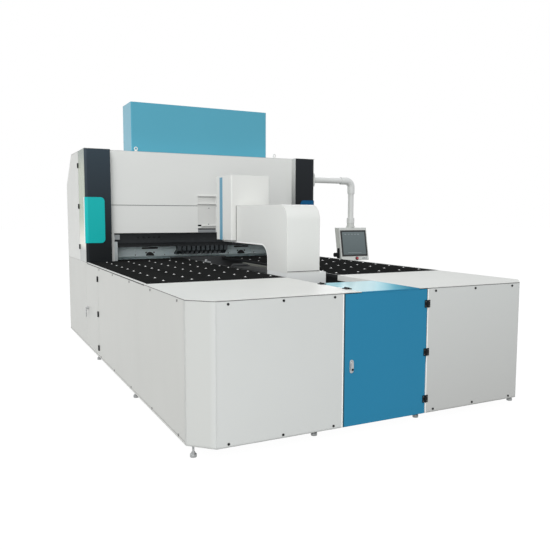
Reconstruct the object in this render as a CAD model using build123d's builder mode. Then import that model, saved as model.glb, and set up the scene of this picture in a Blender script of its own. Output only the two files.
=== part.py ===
from build123d import *
import os

# A panel bending center: a feed table with a manipulator in its middle slot, and behind it
# the bending head with ram, finger tools and blade carrier. All lengths are in millimetres.
# The pieces are drawn about the machine's middle plane (X = 0), its front face (Y = 0) and
# the floor (Z = 0). save() then moves them to the middle of the base of the whole machine.

# Overall sizes
machine_width = 2690
machine_length = 4465
bending_head_length = 1197
table_height = 950
head_height = 2113
rear_height = 1781
rear_slope_run = 382
skirt_gap = 75
corner_cut = 138
sheet = 3
seam = 4
overrun = 10
run_clearance = 0.3
pin_clearance = 0.08

# Feed table
cover_depth_share = 0.3167
slot_left = 205
slot_right = 270
table_thick = 12
table_end_gap = 10
rim_width = 12
rim_rise = 3
rim_height = 38
slot_bar_width = 15
slot_bar_height = 25
cover_lip = 42
ball_pitch = 222
ball_first_left = 270
ball_first_right = 355
ball_front_margin = 155
ball_rear_margin = 80
ball_columns = 5
ball_rows = 10
ball_flange_r = 15
ball_flange_rise = 1
ball_dome_r = 9
ball_dome_rise = 4

# Table frame and feet
post_tube = 40
rail_width = 60
rail_height = 80
inner_post_left = 468
inner_post_right = 372
front_post_y = 140
middle_post_share = 0.46
rear_post_lead = 307
tie_height = 140
foot_pad_r = 27
foot_pad_edge = 7
foot_pad_height = 38
foot_stud_r = 10
head_foot_inset = 110

# Bed, guide rails and feed drive
bed_beam_x = 180
bed_beam_width = 100
bed_top = 700
bed_front = 230
bed_head_reach = 112
guide_width = 35
guide_height = 36
guide_waist_share = 0.7
guide_foot_share = 0.4
guide_head_share = 0.62
screw_height = 640
screw_r = 25
bearing_thick = 40
bearing_height = 140
motor_flange = 130
motor_flange_thick = 14
motor_body = 116
motor_body_length = 90
motor_edge_r = 14
motor_cap = 84
motor_cap_length = 40

# Manipulator
arm_half = 152
arm_front_lead = 95
column_depth = 363
arm_top = 1526
arm_under = 1180
arm_bottom = 972
arm_nose_r = 125
arm_throat_r = 115
arm_wall = 6
clamp_head_share = 0.6625
head_depth = 387
head_half = 202
head_top = 1817
head_wall = 5
head_edge_r = 14
stripe_width = 66
stripe_thick = 3
press_setback = 255
tongue_thick = 20
tongue_margin = 80
press_rod_r = 40
press_rod_length = 420
upper_disc_r = 78
upper_disc_thick = 26
upper_disc_edge = 5
spigot_r = 18
spigot_height = 14
saddle_half = 232
saddle_front_lead = 50
saddle_rear_lead = 107
saddle_bottom = 770
saddle_thick = 30
riser_right = 215
block_width = 96
block_length = 120
block_gap = 1
nut_half = 62
nut_length = 110
lower_arm_half = 100
lower_arm_bottom = 800
lower_arm_top = 935
lower_arm_tip_drop = 70
lower_hub_r = 95
lower_disc_r = 80
lower_disc_rise = 3
lower_disc_thick = 8

# Front door, slot lid and their lock
door_half = 333
door_gap = 4
door_return = 25
door_top_gap = 6
lid_rear_share = 0.53
lid_gap = 3
lid_return = 18
lid_return_share = 0.25
lock_x = -276
lock_height = 470
lock_width = 29
lock_length = 88
lock_thick = 6
lever_width = 19
lever_length = 62
lever_thick = 9
lever_pivot_drop = 19
lock_shaft_r = 6
cam_width = 16
cam_length = 82
cam_thick = 4
cam_setback = 34

# Hinges
leaf_width = 23
leaf_height = 51
leaf_thick = 4
barrel_r = 6
hinge_pin_r = 3
leaf_lap = 1
knuckle_gap = 0.4
door_hinge_heights = (840, 506, 177)
lid_hinge_shares = (0.31, 0.9)
side_hinge_heights = (831, 495, 168)
column_hinge_heights = (1960, 1529, 1099)

# Left side door and its handle
side_door_width = 624
side_door_overlap = 74
side_door_margin = 22
handle_setback = 120
handle_height = 490
handle_base_r = 14
handle_standoff = 22
handle_width = 13
handle_length = 96
handle_thick = 10
side_cam_length = 146
side_cam_setback = 11

# Columns, hood and covers of the bending head
trim_width = 258
trim_corner = 22
strip_depth = 377
hood_recess = 95
hood_bottom = 1545
hood_post_width = 44
band_bottom = 1246
band_return = 60
recess_half = 106
recess_top = 1657
recess_overlap = 22
ledge_height = 9
ledge_reach = 13
recess_step = 1560
recess_bottom = 1314
window_width = 191
window_bottom = 1150
window_top = 1620
window_thick = 8
window_wrap = 34
window_corner_r = 42
drive_cover_half = 807
drive_cover_setback = 232
drive_cover_depth = 366
drive_cover_height = 539
drive_cover_edge_r = 6

# Bending head
frame_inner = 1120
frame_thick = 80
frame_front_setback = 152
frame_rear_gap = 85
frame_slope_inset = 60
upper_beam_setback = 272
upper_beam_depth = 420
upper_beam_bottom = 1670
upper_beam_top = 2060
upper_beam_wall = 40
ram_setback = 172
ram_depth = 200
ram_bottom = 1240
ram_top = 1620
ram_relief = 50
tool_bar_half = 1070
tool_bar_depth = 120
tool_bar_bottom = 1134
tool_ledge_depth = 70
tool_ledge_bottom = 1090
tool_bar_hole_r = 9
tool_bar_hole_depth = 30
tool_bar_hole_pitch = 58
tool_bar_hole_height = 1194
tool_bar_hole_x = 649
tool_bar_hole_columns = 5
finger_count = 11
finger_pitch = 56.4
finger_gap = 20
finger_bottom = 995
finger_nose_setback = 377
finger_nose_height = 14
finger_heel_share = 0.45
lower_tool_half = 335
lower_tool_setback = 332
lower_tool_depth = 90
lower_tool_bottom = 930
lower_tool_top = 957
lower_tool_bevel = 14
lower_beam_bottom = 300
shelf_top = 640
shelf_setback = 982
carrier_half = 1000
carrier_setback = 432
carrier_jaw_lead = 10
carrier_top = 1085
carrier_mouth_top = 965
carrier_mouth_bottom = 880
carrier_bottom = 700
carrier_mouth_depth = 160
carrier_depth = 260
blade_tip = 8
carrier_hole_r = 50
carrier_hole_depth = 60
carrier_hole_x = 566
carrier_hole_height = 970
carrier_bolt_r = 9
carrier_bolt_rise = 44
carrier_bolt_spread = 46
carrier_slot_rise = 94
carrier_slot_length = 190
carrier_slot_width = 19
carrier_rib_width = 42
carrier_rib_reach = 5
carrier_rib_spread = 148
carrier_pin_spread = 170
carrier_pin_rise = 18
carrier_pin_r = 6
slide_upright = 100
slide_foot = 50
slide_depth = 280
drive_x = 520
drive_motor_r = 95
drive_motor_height = 330
drive_flange_r = 120
drive_flange_height = 30
drive_screw_r = 30
drive_screw_reach = 120
drive_bore_gap = 2

# Operator panel on its arm
panel_setback = 182
panel_reach = 1992
panel_pivot_lead = 62
panel_arm_height = 1877
panel_tube_r = 36
panel_bend_r = 78
elbow_grow = 10
elbow_length = 82
bracket_width = 130
bracket_height = 190
bracket_plate = 10
lug_thick = 18
lug_half = 40
boss_r = 44
boss_half = 60
pivot_pin_r = 14
swivel_height = 1345
swivel_sleeve_r = 49
swivel_sleeve_height = 66
panel_width = 415
panel_top = 1286
panel_drop = 415
panel_depth = 96
panel_tilt_run = 78
panel_edge_r = 6
coupler_r = 46
collar_grow = 8
collar_height = 22
screen_width = 383
screen_height = 332
screen_top_margin = 34
screen_thick = 6
screen_border = 20
screen_recess = 2
estop_r = 16
estop_stem_r = 9
estop_height = 16
estop_travel = 6
estop_x = 26
estop_margin = 27

# Screws on the panels
screw_head_r = 8
screw_head_height = 4
screw_edge = 21
screw_columns = (407, 769, 1130)
side_screw_shares = (0.103, 0.3219, 0.5408, 0.7597, 0.9713)

half_width = machine_width / 2
head_face = machine_length - bending_head_length
cover_depth = head_face * cover_depth_share
lid_length = cover_depth * lid_rear_share - lid_gap
lid_hinge_setbacks = [lid_gap + lid_length * share for share in lid_hinge_shares]
post_rows = (front_post_y, head_face * middle_post_share, head_face - rear_post_lead)
bed_rear = head_face + bed_head_reach
arm_front = cover_depth + arm_front_lead
head_front = head_face * clamp_head_share
ball_first_y = cover_depth + ball_front_margin
ball_row_pitch = (head_face - ball_rear_margin - ball_first_y) / (ball_rows - 1)
side_door_rear = head_face + side_door_overlap
side_door_front = side_door_rear - side_door_width
side_screw_columns = [side_door_front * share for share in side_screw_shares]
upper_beam_front = head_face + upper_beam_setback
ram_front = head_face + ram_setback
finger_nose = head_face + finger_nose_setback
lower_tool_front = head_face + lower_tool_setback
shelf_rear = head_face + shelf_setback
carrier_front = head_face + carrier_setback
carrier_web_front = carrier_front + carrier_mouth_depth
carrier_rear = carrier_front + carrier_depth
slide_rear = carrier_rear + slide_depth
panel_y = head_face + panel_setback
side_inner = half_width - sheet
cover_under = table_height - sheet
table_under = table_height - table_thick
rim_top = table_height + rim_rise
outer_post_x = side_inner - rim_width - rail_width / 2
hood_face = head_face + hood_recess
trim_inner = half_width - trim_width
door_edge = door_half + door_gap / 2
lip_front = sheet + door_return + seam
panel_end = corner_cut + screw_edge
rear_inner = machine_length - sheet
rail_bottom = table_under - rail_height
foot_height = skirt_gap
column_rear = arm_front + column_depth
press_y = head_front + press_setback
press_pad_top = arm_under - knuckle_gap
seam_y = head_face + strip_depth
roof_under = head_height - sheet
slope_start = machine_length - rear_slope_run
table_rear = lower_tool_front - table_end_gap
panel_tilt_length = (panel_tilt_run**2 + panel_drop**2) ** 0.5
post_columns = (-outer_post_x, -inner_post_left, inner_post_right, outer_post_x)
post_places = [(x, y) for x in post_columns for y in post_rows]
head_foot_x = frame_inner + frame_thick / 2
head_foot_rows = (
    head_face + frame_front_setback + head_foot_inset,
    machine_length - frame_rear_gap - head_foot_inset,
)
head_foot_places = [(x, y) for x in (-head_foot_x, head_foot_x) for y in head_foot_rows]

# The left reach is the side door's handle, the right one the operator panel's edge,
# the front one the lock lever and the rear one the back panel.
left_reach = half_width + handle_standoff + handle_thick
right_reach = panel_reach + panel_width / 2
front_reach = lock_thick + run_clearance + lever_thick
origin_x = (right_reach - left_reach) / 2
origin_y = (machine_length - front_reach) / 2
to_origin = Location((-origin_x, -origin_y, 0))

# The upright axes of the hinges, with the surface behind the barrel and the fixed leaf on local +X
door_hinge_axes = [
    Plane((door_edge, -barrel_r, z), x_dir=(1, 0, 0), z_dir=(0, 0, 1)) for z in door_hinge_heights
]
lid_hinge_axes = [
    Plane((-slot_left, y, table_height + barrel_r), x_dir=(-1, 0, 0), z_dir=(0, -1, 0))
    for y in lid_hinge_setbacks
]
side_hinge_axes = [
    Plane((-half_width - barrel_r, side_door_front - seam / 2, z), x_dir=(0, -1, 0), z_dir=(0, 0, 1))
    for z in side_hinge_heights
]
column_hinge_axes = [
    Plane((-half_width - barrel_r, seam_y + seam / 2, z), x_dir=(0, -1, 0), z_dir=(0, 0, 1))
    for z in column_hinge_heights
]


def save(builder, name):
    """Move a finished piece to the machine's origin, label it and write it."""
    piece = builder.part.moved(to_origin)
    piece.label = name
    export_step(piece, f"parts/{name}.step")


def block(x_span, y_span, z_span, mode=Mode.ADD):
    """A straight-sided block between two faces along each axis."""
    with Locations((x_span[0], y_span[0], z_span[0])):
        Box(
            x_span[1] - x_span[0],
            y_span[1] - y_span[0],
            z_span[1] - z_span[0],
            align=(Align.MIN, Align.MIN, Align.MIN),
            mode=mode,
        )


def mirrored(low, high):
    """The same span on the left and on the right of the middle plane."""
    return ((-high, -low), (low, high))


def hinge_halves(axes, moving):
    """One half of each butt hinge: its leaf on the panel and its share of the barrel."""
    side = -1 if moving else 1
    knuckle = leaf_height / 3 - knuckle_gap
    leaf_start = barrel_r + leaf_lap
    centres = (0,) if moving else (-leaf_height / 3, leaf_height / 3)
    for axis in axes:
        with Locations(axis):
            with Locations((side * (leaf_start + leaf_width) / 2, barrel_r - leaf_thick / 2, 0)):
                Box(leaf_width - leaf_start, leaf_thick, leaf_height)
            for centre in centres:
                with Locations((side * leaf_start / 2, barrel_r - leaf_thick / 2, centre)):
                    Box(leaf_start, leaf_thick, knuckle)
                with Locations((0, 0, centre)):
                    Cylinder(barrel_r, knuckle)
            if moving:
                Cylinder(hinge_pin_r + pin_clearance, leaf_height, mode=Mode.SUBTRACT)
            else:
                Cylinder(hinge_pin_r, leaf_height)


os.makedirs("parts", exist_ok=True)

# Levelling feet: a turned pad with a domed top and the stud into the frame
with BuildPart() as levelling_feet:
    with BuildSketch(Plane.XZ) as foot_section:
        with BuildLine():
            Line((0, 0), (foot_pad_r, 0))
            Line((foot_pad_r, 0), (foot_pad_r, foot_pad_edge))
            RadiusArc(
                (foot_pad_r, foot_pad_edge),
                (foot_stud_r, foot_pad_height),
                -foot_pad_height,
            )
            Polyline(
                (foot_stud_r, foot_pad_height),
                (foot_stud_r, foot_height),
                (0, foot_height),
                (0, 0),
            )
        make_face()
    foot = revolve(axis=Axis.Z, mode=Mode.PRIVATE)
    with Locations(*post_places, *head_foot_places):
        add(foot)
save(levelling_feet, "levelling_feet")

# Table frame: posts over the feet, long rails under the tables and ties under the bed
with BuildPart() as table_frame:
    with Locations(*[(x, y, skirt_gap) for x, y in post_places]):
        Box(post_tube, post_tube, rail_bottom - skirt_gap, align=(Align.CENTER, Align.CENTER, Align.MIN))
    for rail_x, rail_front in zip(post_columns, (panel_end, sheet, sheet, panel_end)):
        block(
            (rail_x - rail_width / 2, rail_x + rail_width / 2),
            (rail_front, head_face),
            (rail_bottom, table_under),
        )
    for y in post_rows:
        block(
            (post_tube / 2 - inner_post_left, inner_post_right - post_tube / 2),
            (y - post_tube / 2, y + post_tube / 2),
            (tie_height, tie_height + post_tube),
        )
save(table_frame, "table_frame")

# Bed: two beams under the guide rails, tied by the bearing plates of the feed screw
with BuildPart() as feed_bed:
    for x_span in mirrored(bed_beam_x - bed_beam_width / 2, bed_beam_x + bed_beam_width / 2):
        block(x_span, (post_rows[0] - post_tube / 2, bed_rear), (tie_height + post_tube, bed_top))
    for y in (bed_front, bed_rear - bearing_thick):
        block(
            (-bed_beam_x, bed_beam_x),
            (y, y + bearing_thick),
            (bed_top - bearing_height, bed_top),
        )
    with Locations(Plane((0, bed_front, screw_height), x_dir=(1, 0, 0), z_dir=(0, 1, 0))):
        Cylinder(
            screw_r + pin_clearance,
            bed_rear - bed_front,
            align=(Align.CENTER, Align.CENTER, Align.MIN),
            mode=Mode.SUBTRACT,
        )
save(feed_bed, "feed_bed")

# Guide rails: waisted profile rails along the bed
with BuildPart() as guide_rails:
    for side in (-1, 1):
        with BuildSketch(Plane((side * bed_beam_x, bed_front, bed_top), x_dir=(1, 0, 0), z_dir=(0, -1, 0))):
            with BuildLine():
                half = guide_width / 2
                waist = half * guide_waist_share
                outline = [
                    (half, 0),
                    (half, guide_height * guide_foot_share),
                    (waist, (guide_foot_share + guide_head_share) * guide_height / 2),
                    (half, guide_height * guide_head_share),
                    (half, guide_height),
                ]
                Polyline(*outline, *[(-x, z) for x, z in reversed(outline)], close=True)
            make_face()
        extrude(amount=-(bed_rear - bed_front))
save(guide_rails, "guide_rails")

# Feed motor: flange, square body with rounded edges and the encoder cap
with BuildPart() as feed_motor:
    with BuildSketch(Plane((0, bed_front, screw_height), x_dir=(1, 0, 0), z_dir=(0, -1, 0))):
        RectangleRounded(motor_flange, motor_flange, motor_edge_r)
    extrude(amount=motor_flange_thick)
    with BuildSketch(faces().sort_by(Axis.Y)[0]):
        RectangleRounded(motor_body, motor_body, motor_edge_r)
    extrude(amount=motor_body_length)
    with BuildSketch(faces().sort_by(Axis.Y)[0]):
        RectangleRounded(motor_cap, motor_cap, motor_edge_r)
    extrude(amount=motor_cap_length)
save(feed_motor, "feed_motor")

# Feed screw, turning in the bearing plates
with BuildPart() as ball_screw:
    with Locations(Plane((0, bed_front + run_clearance, screw_height), x_dir=(1, 0, 0), z_dir=(0, 1, 0))):
        Cylinder(screw_r, bed_rear - bed_front, align=(Align.CENTER, Align.CENTER, Align.MIN))
save(ball_screw, "ball_screw")

# Table tops: black plates that narrow between the columns of the bending head
with BuildPart() as table_tops:
    with BuildSketch(Plane.XY.offset(table_under)):
        for side, slot_edge in ((-1, slot_left), (1, slot_right)):
            with BuildLine():
                Polyline(
                    (side * (slot_edge + slot_bar_width), cover_depth),
                    (side * (side_inner - rim_width), cover_depth),
                    (side * (side_inner - rim_width), head_face - seam),
                    (side * (trim_inner - sheet - seam), head_face - seam),
                    (side * (trim_inner - sheet - seam), table_rear),
                    (side * (slot_edge + slot_bar_width), table_rear),
                    close=True,
                )
            make_face()
    extrude(amount=table_thick)
save(table_tops, "table_tops")

# Ball transfers: a thin flange on the table and the crown of the ball
ball_places = [
    (side * (first_x + column * ball_pitch), ball_first_y + row * ball_row_pitch)
    for side, first_x in ((-1, ball_first_left), (1, ball_first_right))
    for column in range(ball_columns)
    for row in range(ball_rows)
]
with BuildPart() as ball_transfers:
    dome_rise = ball_dome_rise - ball_flange_rise
    with BuildSketch(Plane.XZ):
        with BuildLine():
            Polyline(
                (0, 0),
                (ball_flange_r, 0),
                (ball_flange_r, ball_flange_rise),
                (ball_dome_r, ball_flange_rise),
            )
            RadiusArc(
                (ball_dome_r, ball_flange_rise),
                (0, ball_dome_rise),
                -(ball_dome_r**2 + dome_rise**2) / (dome_rise * 2),
            )
            Line((0, ball_dome_rise), (0, 0))
        make_face()
    ball = revolve(axis=Axis.Z, mode=Mode.PRIVATE)
    with Locations(*[(x, y, table_height) for x, y in ball_places]):
        add(ball)
save(ball_transfers, "ball_transfers")

# Edge bars: rims along the sides of the table and bars along its slot
with BuildPart() as table_edge_bars:
    for x_span in mirrored(side_inner - rim_width, side_inner):
        block(x_span, (cover_depth, head_face - seam), (rim_top - rim_height, rim_top))
    for x_span in ((-slot_left - slot_bar_width, -slot_left), (slot_right, slot_right + slot_bar_width)):
        block(x_span, (cover_depth, table_rear), (table_height - slot_bar_height, table_height))
save(table_edge_bars, "table_edge_bars")

# Front covers: folded plates over the front of the table, with a lip down into the slot
with BuildPart() as front_covers:
    with BuildSketch(Plane.XY.offset(cover_under)):
        for side, slot_edge in ((-1, slot_left), (1, slot_right)):
            with BuildLine():
                Polyline(
                    (side * slot_edge, 0),
                    (side * (half_width - corner_cut), 0),
                    (side * half_width, corner_cut),
                    (side * half_width, cover_depth),
                    (side * slot_edge, cover_depth),
                    close=True,
                )
            make_face()
    extrude(amount=sheet)
    for x_span in ((-slot_left - sheet, -slot_left), (slot_right, slot_right + sheet)):
        block(x_span, (lip_front, cover_depth), (cover_under - cover_lip, cover_under))
    for x_span in ((-side_inner, -slot_left - slot_bar_width), (slot_right + slot_bar_width, side_inner)):
        block(x_span, (cover_depth - sheet, cover_depth), (table_under, cover_under))
save(front_covers, "front_covers")

# Front panels: sheet from the door to the corner, bent over the corner to the side panel
with BuildPart() as front_panels:
    for side in (-1, 1):
        with BuildSketch(Plane.XY.offset(skirt_gap)):
            with BuildLine():
                Polyline(
                    (side * (door_half + door_gap), 0),
                    (side * (half_width - corner_cut), 0),
                    (side * half_width, corner_cut),
                    (side * half_width, panel_end),
                )
                offset(amount=sheet, side=Side.LEFT if side > 0 else Side.RIGHT)
            make_face()
        extrude(amount=cover_under - skirt_gap)
save(front_panels, "front_panels")

# Left side panel in front of the side door, with its floor edge turned in
with BuildPart() as side_panel_left:
    block((-half_width, -side_inner), (panel_end, side_door_front - seam), (skirt_gap, cover_under))
    block(
        (-side_inner, -outer_post_x - post_tube / 2),
        (panel_end, post_rows[1] - post_tube),
        (skirt_gap, skirt_gap + sheet),
    )
save(side_panel_left, "side_panel_left")

# Left side panel behind the side door
with BuildPart() as rear_side_panel_left:
    block((-half_width, -side_inner), (side_door_rear + seam, seam_y), (skirt_gap, cover_under))
    block((-half_width, -side_inner), (seam_y, rear_inner), (skirt_gap, table_height))
save(rear_side_panel_left, "rear_side_panel_left")

# Right side panel in one length
with BuildPart() as side_panel_right:
    block((side_inner, half_width), (panel_end, rear_inner), (skirt_gap, cover_under))
save(side_panel_right, "side_panel_right")

# Front door: sheet with its four edges turned in, and a hole for the lock's shaft
with BuildPart() as front_door:
    with BuildSketch(Plane.XZ):
        with Locations((0, (skirt_gap + cover_under - door_top_gap) / 2)):
            Rectangle(door_half * 2, cover_under - door_top_gap - skirt_gap)
    extrude(amount=-sheet)
    with BuildSketch(Plane.XZ.offset(-sheet)):
        with Locations((0, (skirt_gap + cover_under - door_top_gap) / 2)):
            Rectangle(door_half * 2, cover_under - door_top_gap - skirt_gap)
            Rectangle(
                door_half * 2 - sheet * 2,
                cover_under - door_top_gap - skirt_gap - sheet * 2,
                mode=Mode.SUBTRACT,
            )
    extrude(amount=-door_return)
    with Locations(Plane((lock_x, 0, lock_height - lever_pivot_drop), x_dir=(1, 0, 0), z_dir=(0, -1, 0))):
        Cylinder(lock_shaft_r + run_clearance, cam_setback * 2, mode=Mode.SUBTRACT)
save(front_door, "front_door")

# Lock plate: an oblong escutcheon around the lever's shaft
with BuildPart() as lock_plate:
    with BuildSketch(Plane.XZ):
        with Locations((lock_x, lock_height)):
            SlotOverall(lock_length, lock_width, rotation=90)
        with Locations((lock_x, lock_height - lever_pivot_drop)):
            Circle(lock_shaft_r + pin_clearance, mode=Mode.SUBTRACT)
    extrude(amount=lock_thick)
    chamfer(faces().sort_by(Axis.Y)[0].outer_wire().edges(), length=sheet / 2)
save(lock_plate, "lock_plate")

# Lock lever: the lever in front, its shaft through the door and the cam behind
with BuildPart() as lock_lever:
    lever_back = lock_thick + run_clearance
    with BuildSketch(Plane.XZ.offset(lever_back)):
        with Locations((lock_x, lock_height - lever_pivot_drop + (lever_length - lever_width) / 2)):
            SlotOverall(lever_length, lever_width, rotation=90)
    extrude(amount=lever_thick)
    chamfer(faces().sort_by(Axis.Y)[0].outer_wire().edges(), length=sheet / 2)
    with BuildSketch(Plane.XZ.offset(lever_back)):
        with Locations((lock_x, lock_height - lever_pivot_drop)):
            Circle(lock_shaft_r)
    extrude(amount=-(lever_back + cam_setback + cam_thick))
    with BuildSketch(Plane.XZ.offset(-cam_setback)):
        with Locations((lock_x, lock_height - lever_pivot_drop - (cam_length - cam_width) / 2)):
            SlotOverall(cam_length, cam_width, rotation=90)
    extrude(amount=-cam_thick)
save(lock_lever, "lock_lever")

# Slot lid: plate over the front of the slot, its free edges turned down
with BuildPart() as slot_lid:
    lid_left = lid_gap - slot_left
    lid_right = slot_right - lid_gap
    block((lid_left, lid_right), (lid_gap, lid_gap + lid_length), (cover_under, table_height))
    block(
        (lid_right - sheet, lid_right),
        (lid_gap + lid_length * lid_return_share, lid_gap + lid_length),
        (cover_under - lid_return, cover_under),
    )
    block(
        (lid_left, lid_right),
        (lid_gap + lid_length - sheet, lid_gap + lid_length),
        (cover_under - lid_return, cover_under),
    )
save(slot_lid, "slot_lid")

# Left side door: sheet with turned-in edges and a hole for the handle's shaft
with BuildPart() as side_door:
    with BuildSketch(Plane.YZ.offset(-half_width)):
        with Locations(((side_door_front + side_door_rear) / 2, (skirt_gap + cover_under) / 2)):
            Rectangle(side_door_rear - side_door_front, cover_under - skirt_gap)
    extrude(amount=sheet)
    ring_height = rail_bottom - skirt_gap - side_door_margin * 2
    with BuildSketch(Plane.YZ.offset(-side_inner)):
        with Locations(((side_door_front + side_door_rear) / 2, (rail_bottom + skirt_gap) / 2)):
            Rectangle(side_door_rear - side_door_front - side_door_margin, ring_height)
            Rectangle(
                side_door_rear - side_door_front - side_door_margin - sheet * 2,
                ring_height - sheet * 2,
                mode=Mode.SUBTRACT,
            )
    extrude(amount=sheet * 2)
    handle_y = side_door_rear - handle_setback
    with Locations(Plane((-half_width, handle_y, handle_height), x_dir=(0, -1, 0), z_dir=(-1, 0, 0))):
        Cylinder(lock_shaft_r + run_clearance, door_return, mode=Mode.SUBTRACT)
save(side_door, "side_door")

# Side door handle: a bar on a round base, its shaft and the cam behind the sheet
with BuildPart() as side_door_handle:
    handle_plane = Plane(
        (-half_width - run_clearance, handle_y, handle_height), x_dir=(0, -1, 0), z_dir=(-1, 0, 0)
    )
    with BuildSketch(handle_plane):
        Circle(handle_base_r)
    extrude(amount=handle_standoff)
    with BuildSketch(handle_plane.offset(handle_standoff - run_clearance)):
        with Locations((0, (handle_width - handle_length) / 2)):
            SlotOverall(handle_length, handle_width, rotation=90)
    extrude(amount=handle_thick)
    with BuildSketch(handle_plane):
        Circle(lock_shaft_r)
    extrude(amount=-(side_cam_setback + cam_thick))
    with BuildSketch(handle_plane.offset(-side_cam_setback)):
        with Locations((0, (cam_width - side_cam_length) / 2)):
            SlotOverall(side_cam_length, cam_width, rotation=90)
    extrude(amount=-cam_thick)
save(side_door_handle, "side_door_handle")

# Hinges: fixed halves on the machine, moving halves on each door and lid
with BuildPart() as fixed_hinge_leaves:
    hinge_halves(door_hinge_axes + lid_hinge_axes + side_hinge_axes + column_hinge_axes, False)
save(fixed_hinge_leaves, "fixed_hinge_leaves")

with BuildPart() as door_hinge_leaves:
    hinge_halves(door_hinge_axes, True)
save(door_hinge_leaves, "door_hinge_leaves")

with BuildPart() as lid_hinge_leaves:
    hinge_halves(lid_hinge_axes, True)
save(lid_hinge_leaves, "lid_hinge_leaves")

with BuildPart() as side_hinge_leaves:
    hinge_halves(side_hinge_axes, True)
save(side_hinge_leaves, "side_hinge_leaves")

with BuildPart() as column_hinge_leaves:
    hinge_halves(column_hinge_axes, True)
save(column_hinge_leaves, "column_hinge_leaves")

# Side frames of the bending head: thick plates with the rear top corner cut off
with BuildPart() as side_frames:
    for side in (-1, 1):
        with BuildSketch(Plane.YZ.offset(side * head_foot_x)):
            frame_front = head_face + frame_front_setback
            frame_rear = machine_length - frame_rear_gap
            with BuildLine():
                Polyline(
                    (frame_front, skirt_gap),
                    (frame_rear, skirt_gap),
                    (frame_rear, rear_height - frame_slope_inset),
                    (slope_start - frame_slope_inset, roof_under),
                    (frame_front, roof_under),
                    close=True,
                )
            make_face()
        extrude(amount=frame_thick / 2, both=True)
save(side_frames, "side_frames")

# Upper beam: a box section between the side frames, bored for the ram drives
with BuildPart() as upper_beam:
    with BuildSketch(Plane.YZ):
        with Locations((upper_beam_front + upper_beam_depth / 2, (upper_beam_bottom + upper_beam_top) / 2)):
            Rectangle(upper_beam_depth, upper_beam_top - upper_beam_bottom)
            Rectangle(
                upper_beam_depth - upper_beam_wall * 2,
                upper_beam_top - upper_beam_bottom - upper_beam_wall * 2,
                mode=Mode.SUBTRACT,
            )
    extrude(amount=frame_inner, both=True)
    drive_y = upper_beam_front + upper_beam_wall + drive_flange_r / 2
    with Locations((-drive_x, drive_y, upper_beam_top), (drive_x, drive_y, upper_beam_top)):
        Cylinder(drive_screw_r + drive_bore_gap, machine_width, mode=Mode.SUBTRACT)
save(upper_beam, "upper_beam")

# Ram drives: flange, motor and the screw that reaches down into the ram
with BuildPart() as ram_drives:
    for side in (-1, 1):
        with Locations((side * drive_x, drive_y, upper_beam_top)):
            Cylinder(
                drive_flange_r,
                drive_flange_height,
                align=(Align.CENTER, Align.CENTER, Align.MIN),
            )
            Cylinder(
                drive_motor_r,
                drive_flange_height + drive_motor_height,
                align=(Align.CENTER, Align.CENTER, Align.MIN),
            )
            Cylinder(
                drive_screw_r,
                upper_beam_top - ram_top + drive_screw_reach,
                align=(Align.CENTER, Align.CENTER, Align.MAX),
            )
save(ram_drives, "ram_drives")

# Ram: the beam that carries the tool bar, relieved at the back and bored for the screws
with BuildPart() as ram:
    ram_rear = ram_front + ram_depth
    with BuildSketch(Plane.YZ):
        with BuildLine():
            Polyline(
                (ram_front, ram_bottom),
                (ram_rear - ram_relief, ram_bottom),
                (ram_rear - ram_relief, ram_bottom + ram_relief),
                (ram_rear, ram_bottom + ram_relief * 2),
                (ram_rear, ram_top),
                (ram_front, ram_top),
                close=True,
            )
        make_face()
    extrude(amount=frame_inner - run_clearance, both=True)
    with Locations((-drive_x, drive_y, ram_top), (drive_x, drive_y, ram_top)):
        Cylinder(
            drive_screw_r + drive_bore_gap,
            drive_screw_reach + ram_relief * 2,
            align=(Align.CENTER, Align.CENTER, Align.MAX),
            mode=Mode.SUBTRACT,
        )
save(ram, "ram")

# Tool bar: a bar with a narrower clamping ledge and a row of holes on each side of its face
with BuildPart() as tool_bar:
    with BuildSketch(Plane.YZ):
        with BuildLine():
            Polyline(
                (ram_front, ram_bottom),
                (ram_front, tool_bar_bottom),
                (ram_front + tool_bar_depth - tool_ledge_depth, tool_bar_bottom),
                (ram_front + tool_bar_depth - tool_ledge_depth, tool_ledge_bottom),
                (ram_front + tool_bar_depth, tool_ledge_bottom),
                (ram_front + tool_bar_depth, ram_bottom),
                close=True,
            )
        make_face()
    extrude(amount=tool_bar_half, both=True)
    for x in (-tool_bar_hole_x, tool_bar_hole_x):
        with Locations(Plane((x, ram_front, tool_bar_hole_height), x_dir=(1, 0, 0), z_dir=(0, -1, 0))):
            with GridLocations(tool_bar_hole_pitch, tool_bar_hole_pitch, tool_bar_hole_columns, 1):
                Hole(tool_bar_hole_r, depth=tool_bar_hole_depth)
save(tool_bar, "tool_bar")

# Finger tools: a row of segments whose heel sweeps forward to the bending nose
with BuildPart() as finger_tools:
    finger_back = ram_front + tool_bar_depth
    finger_front = finger_back - tool_ledge_depth
    heel = finger_bottom + (tool_ledge_bottom - finger_bottom) * finger_heel_share
    for index in range(finger_count):
        finger_x = (index - (finger_count - 1) / 2) * finger_pitch
        with BuildSketch(Plane.YZ.offset(finger_x)):
            with BuildLine():
                Line((finger_front, tool_ledge_bottom), (finger_front, heel))
                RadiusArc(
                    (finger_front, heel),
                    (finger_back, finger_bottom),
                    finger_back - finger_front + overrun,
                )
                Polyline(
                    (finger_back, finger_bottom),
                    (finger_nose, finger_bottom),
                    (finger_nose, finger_bottom + finger_nose_height),
                    (finger_back, heel + finger_nose_height),
                    (finger_back, tool_ledge_bottom),
                    (finger_front, tool_ledge_bottom),
                )
            make_face()
        extrude(amount=(finger_pitch - finger_gap) / 2, both=True)
save(finger_tools, "finger_tools")

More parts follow.
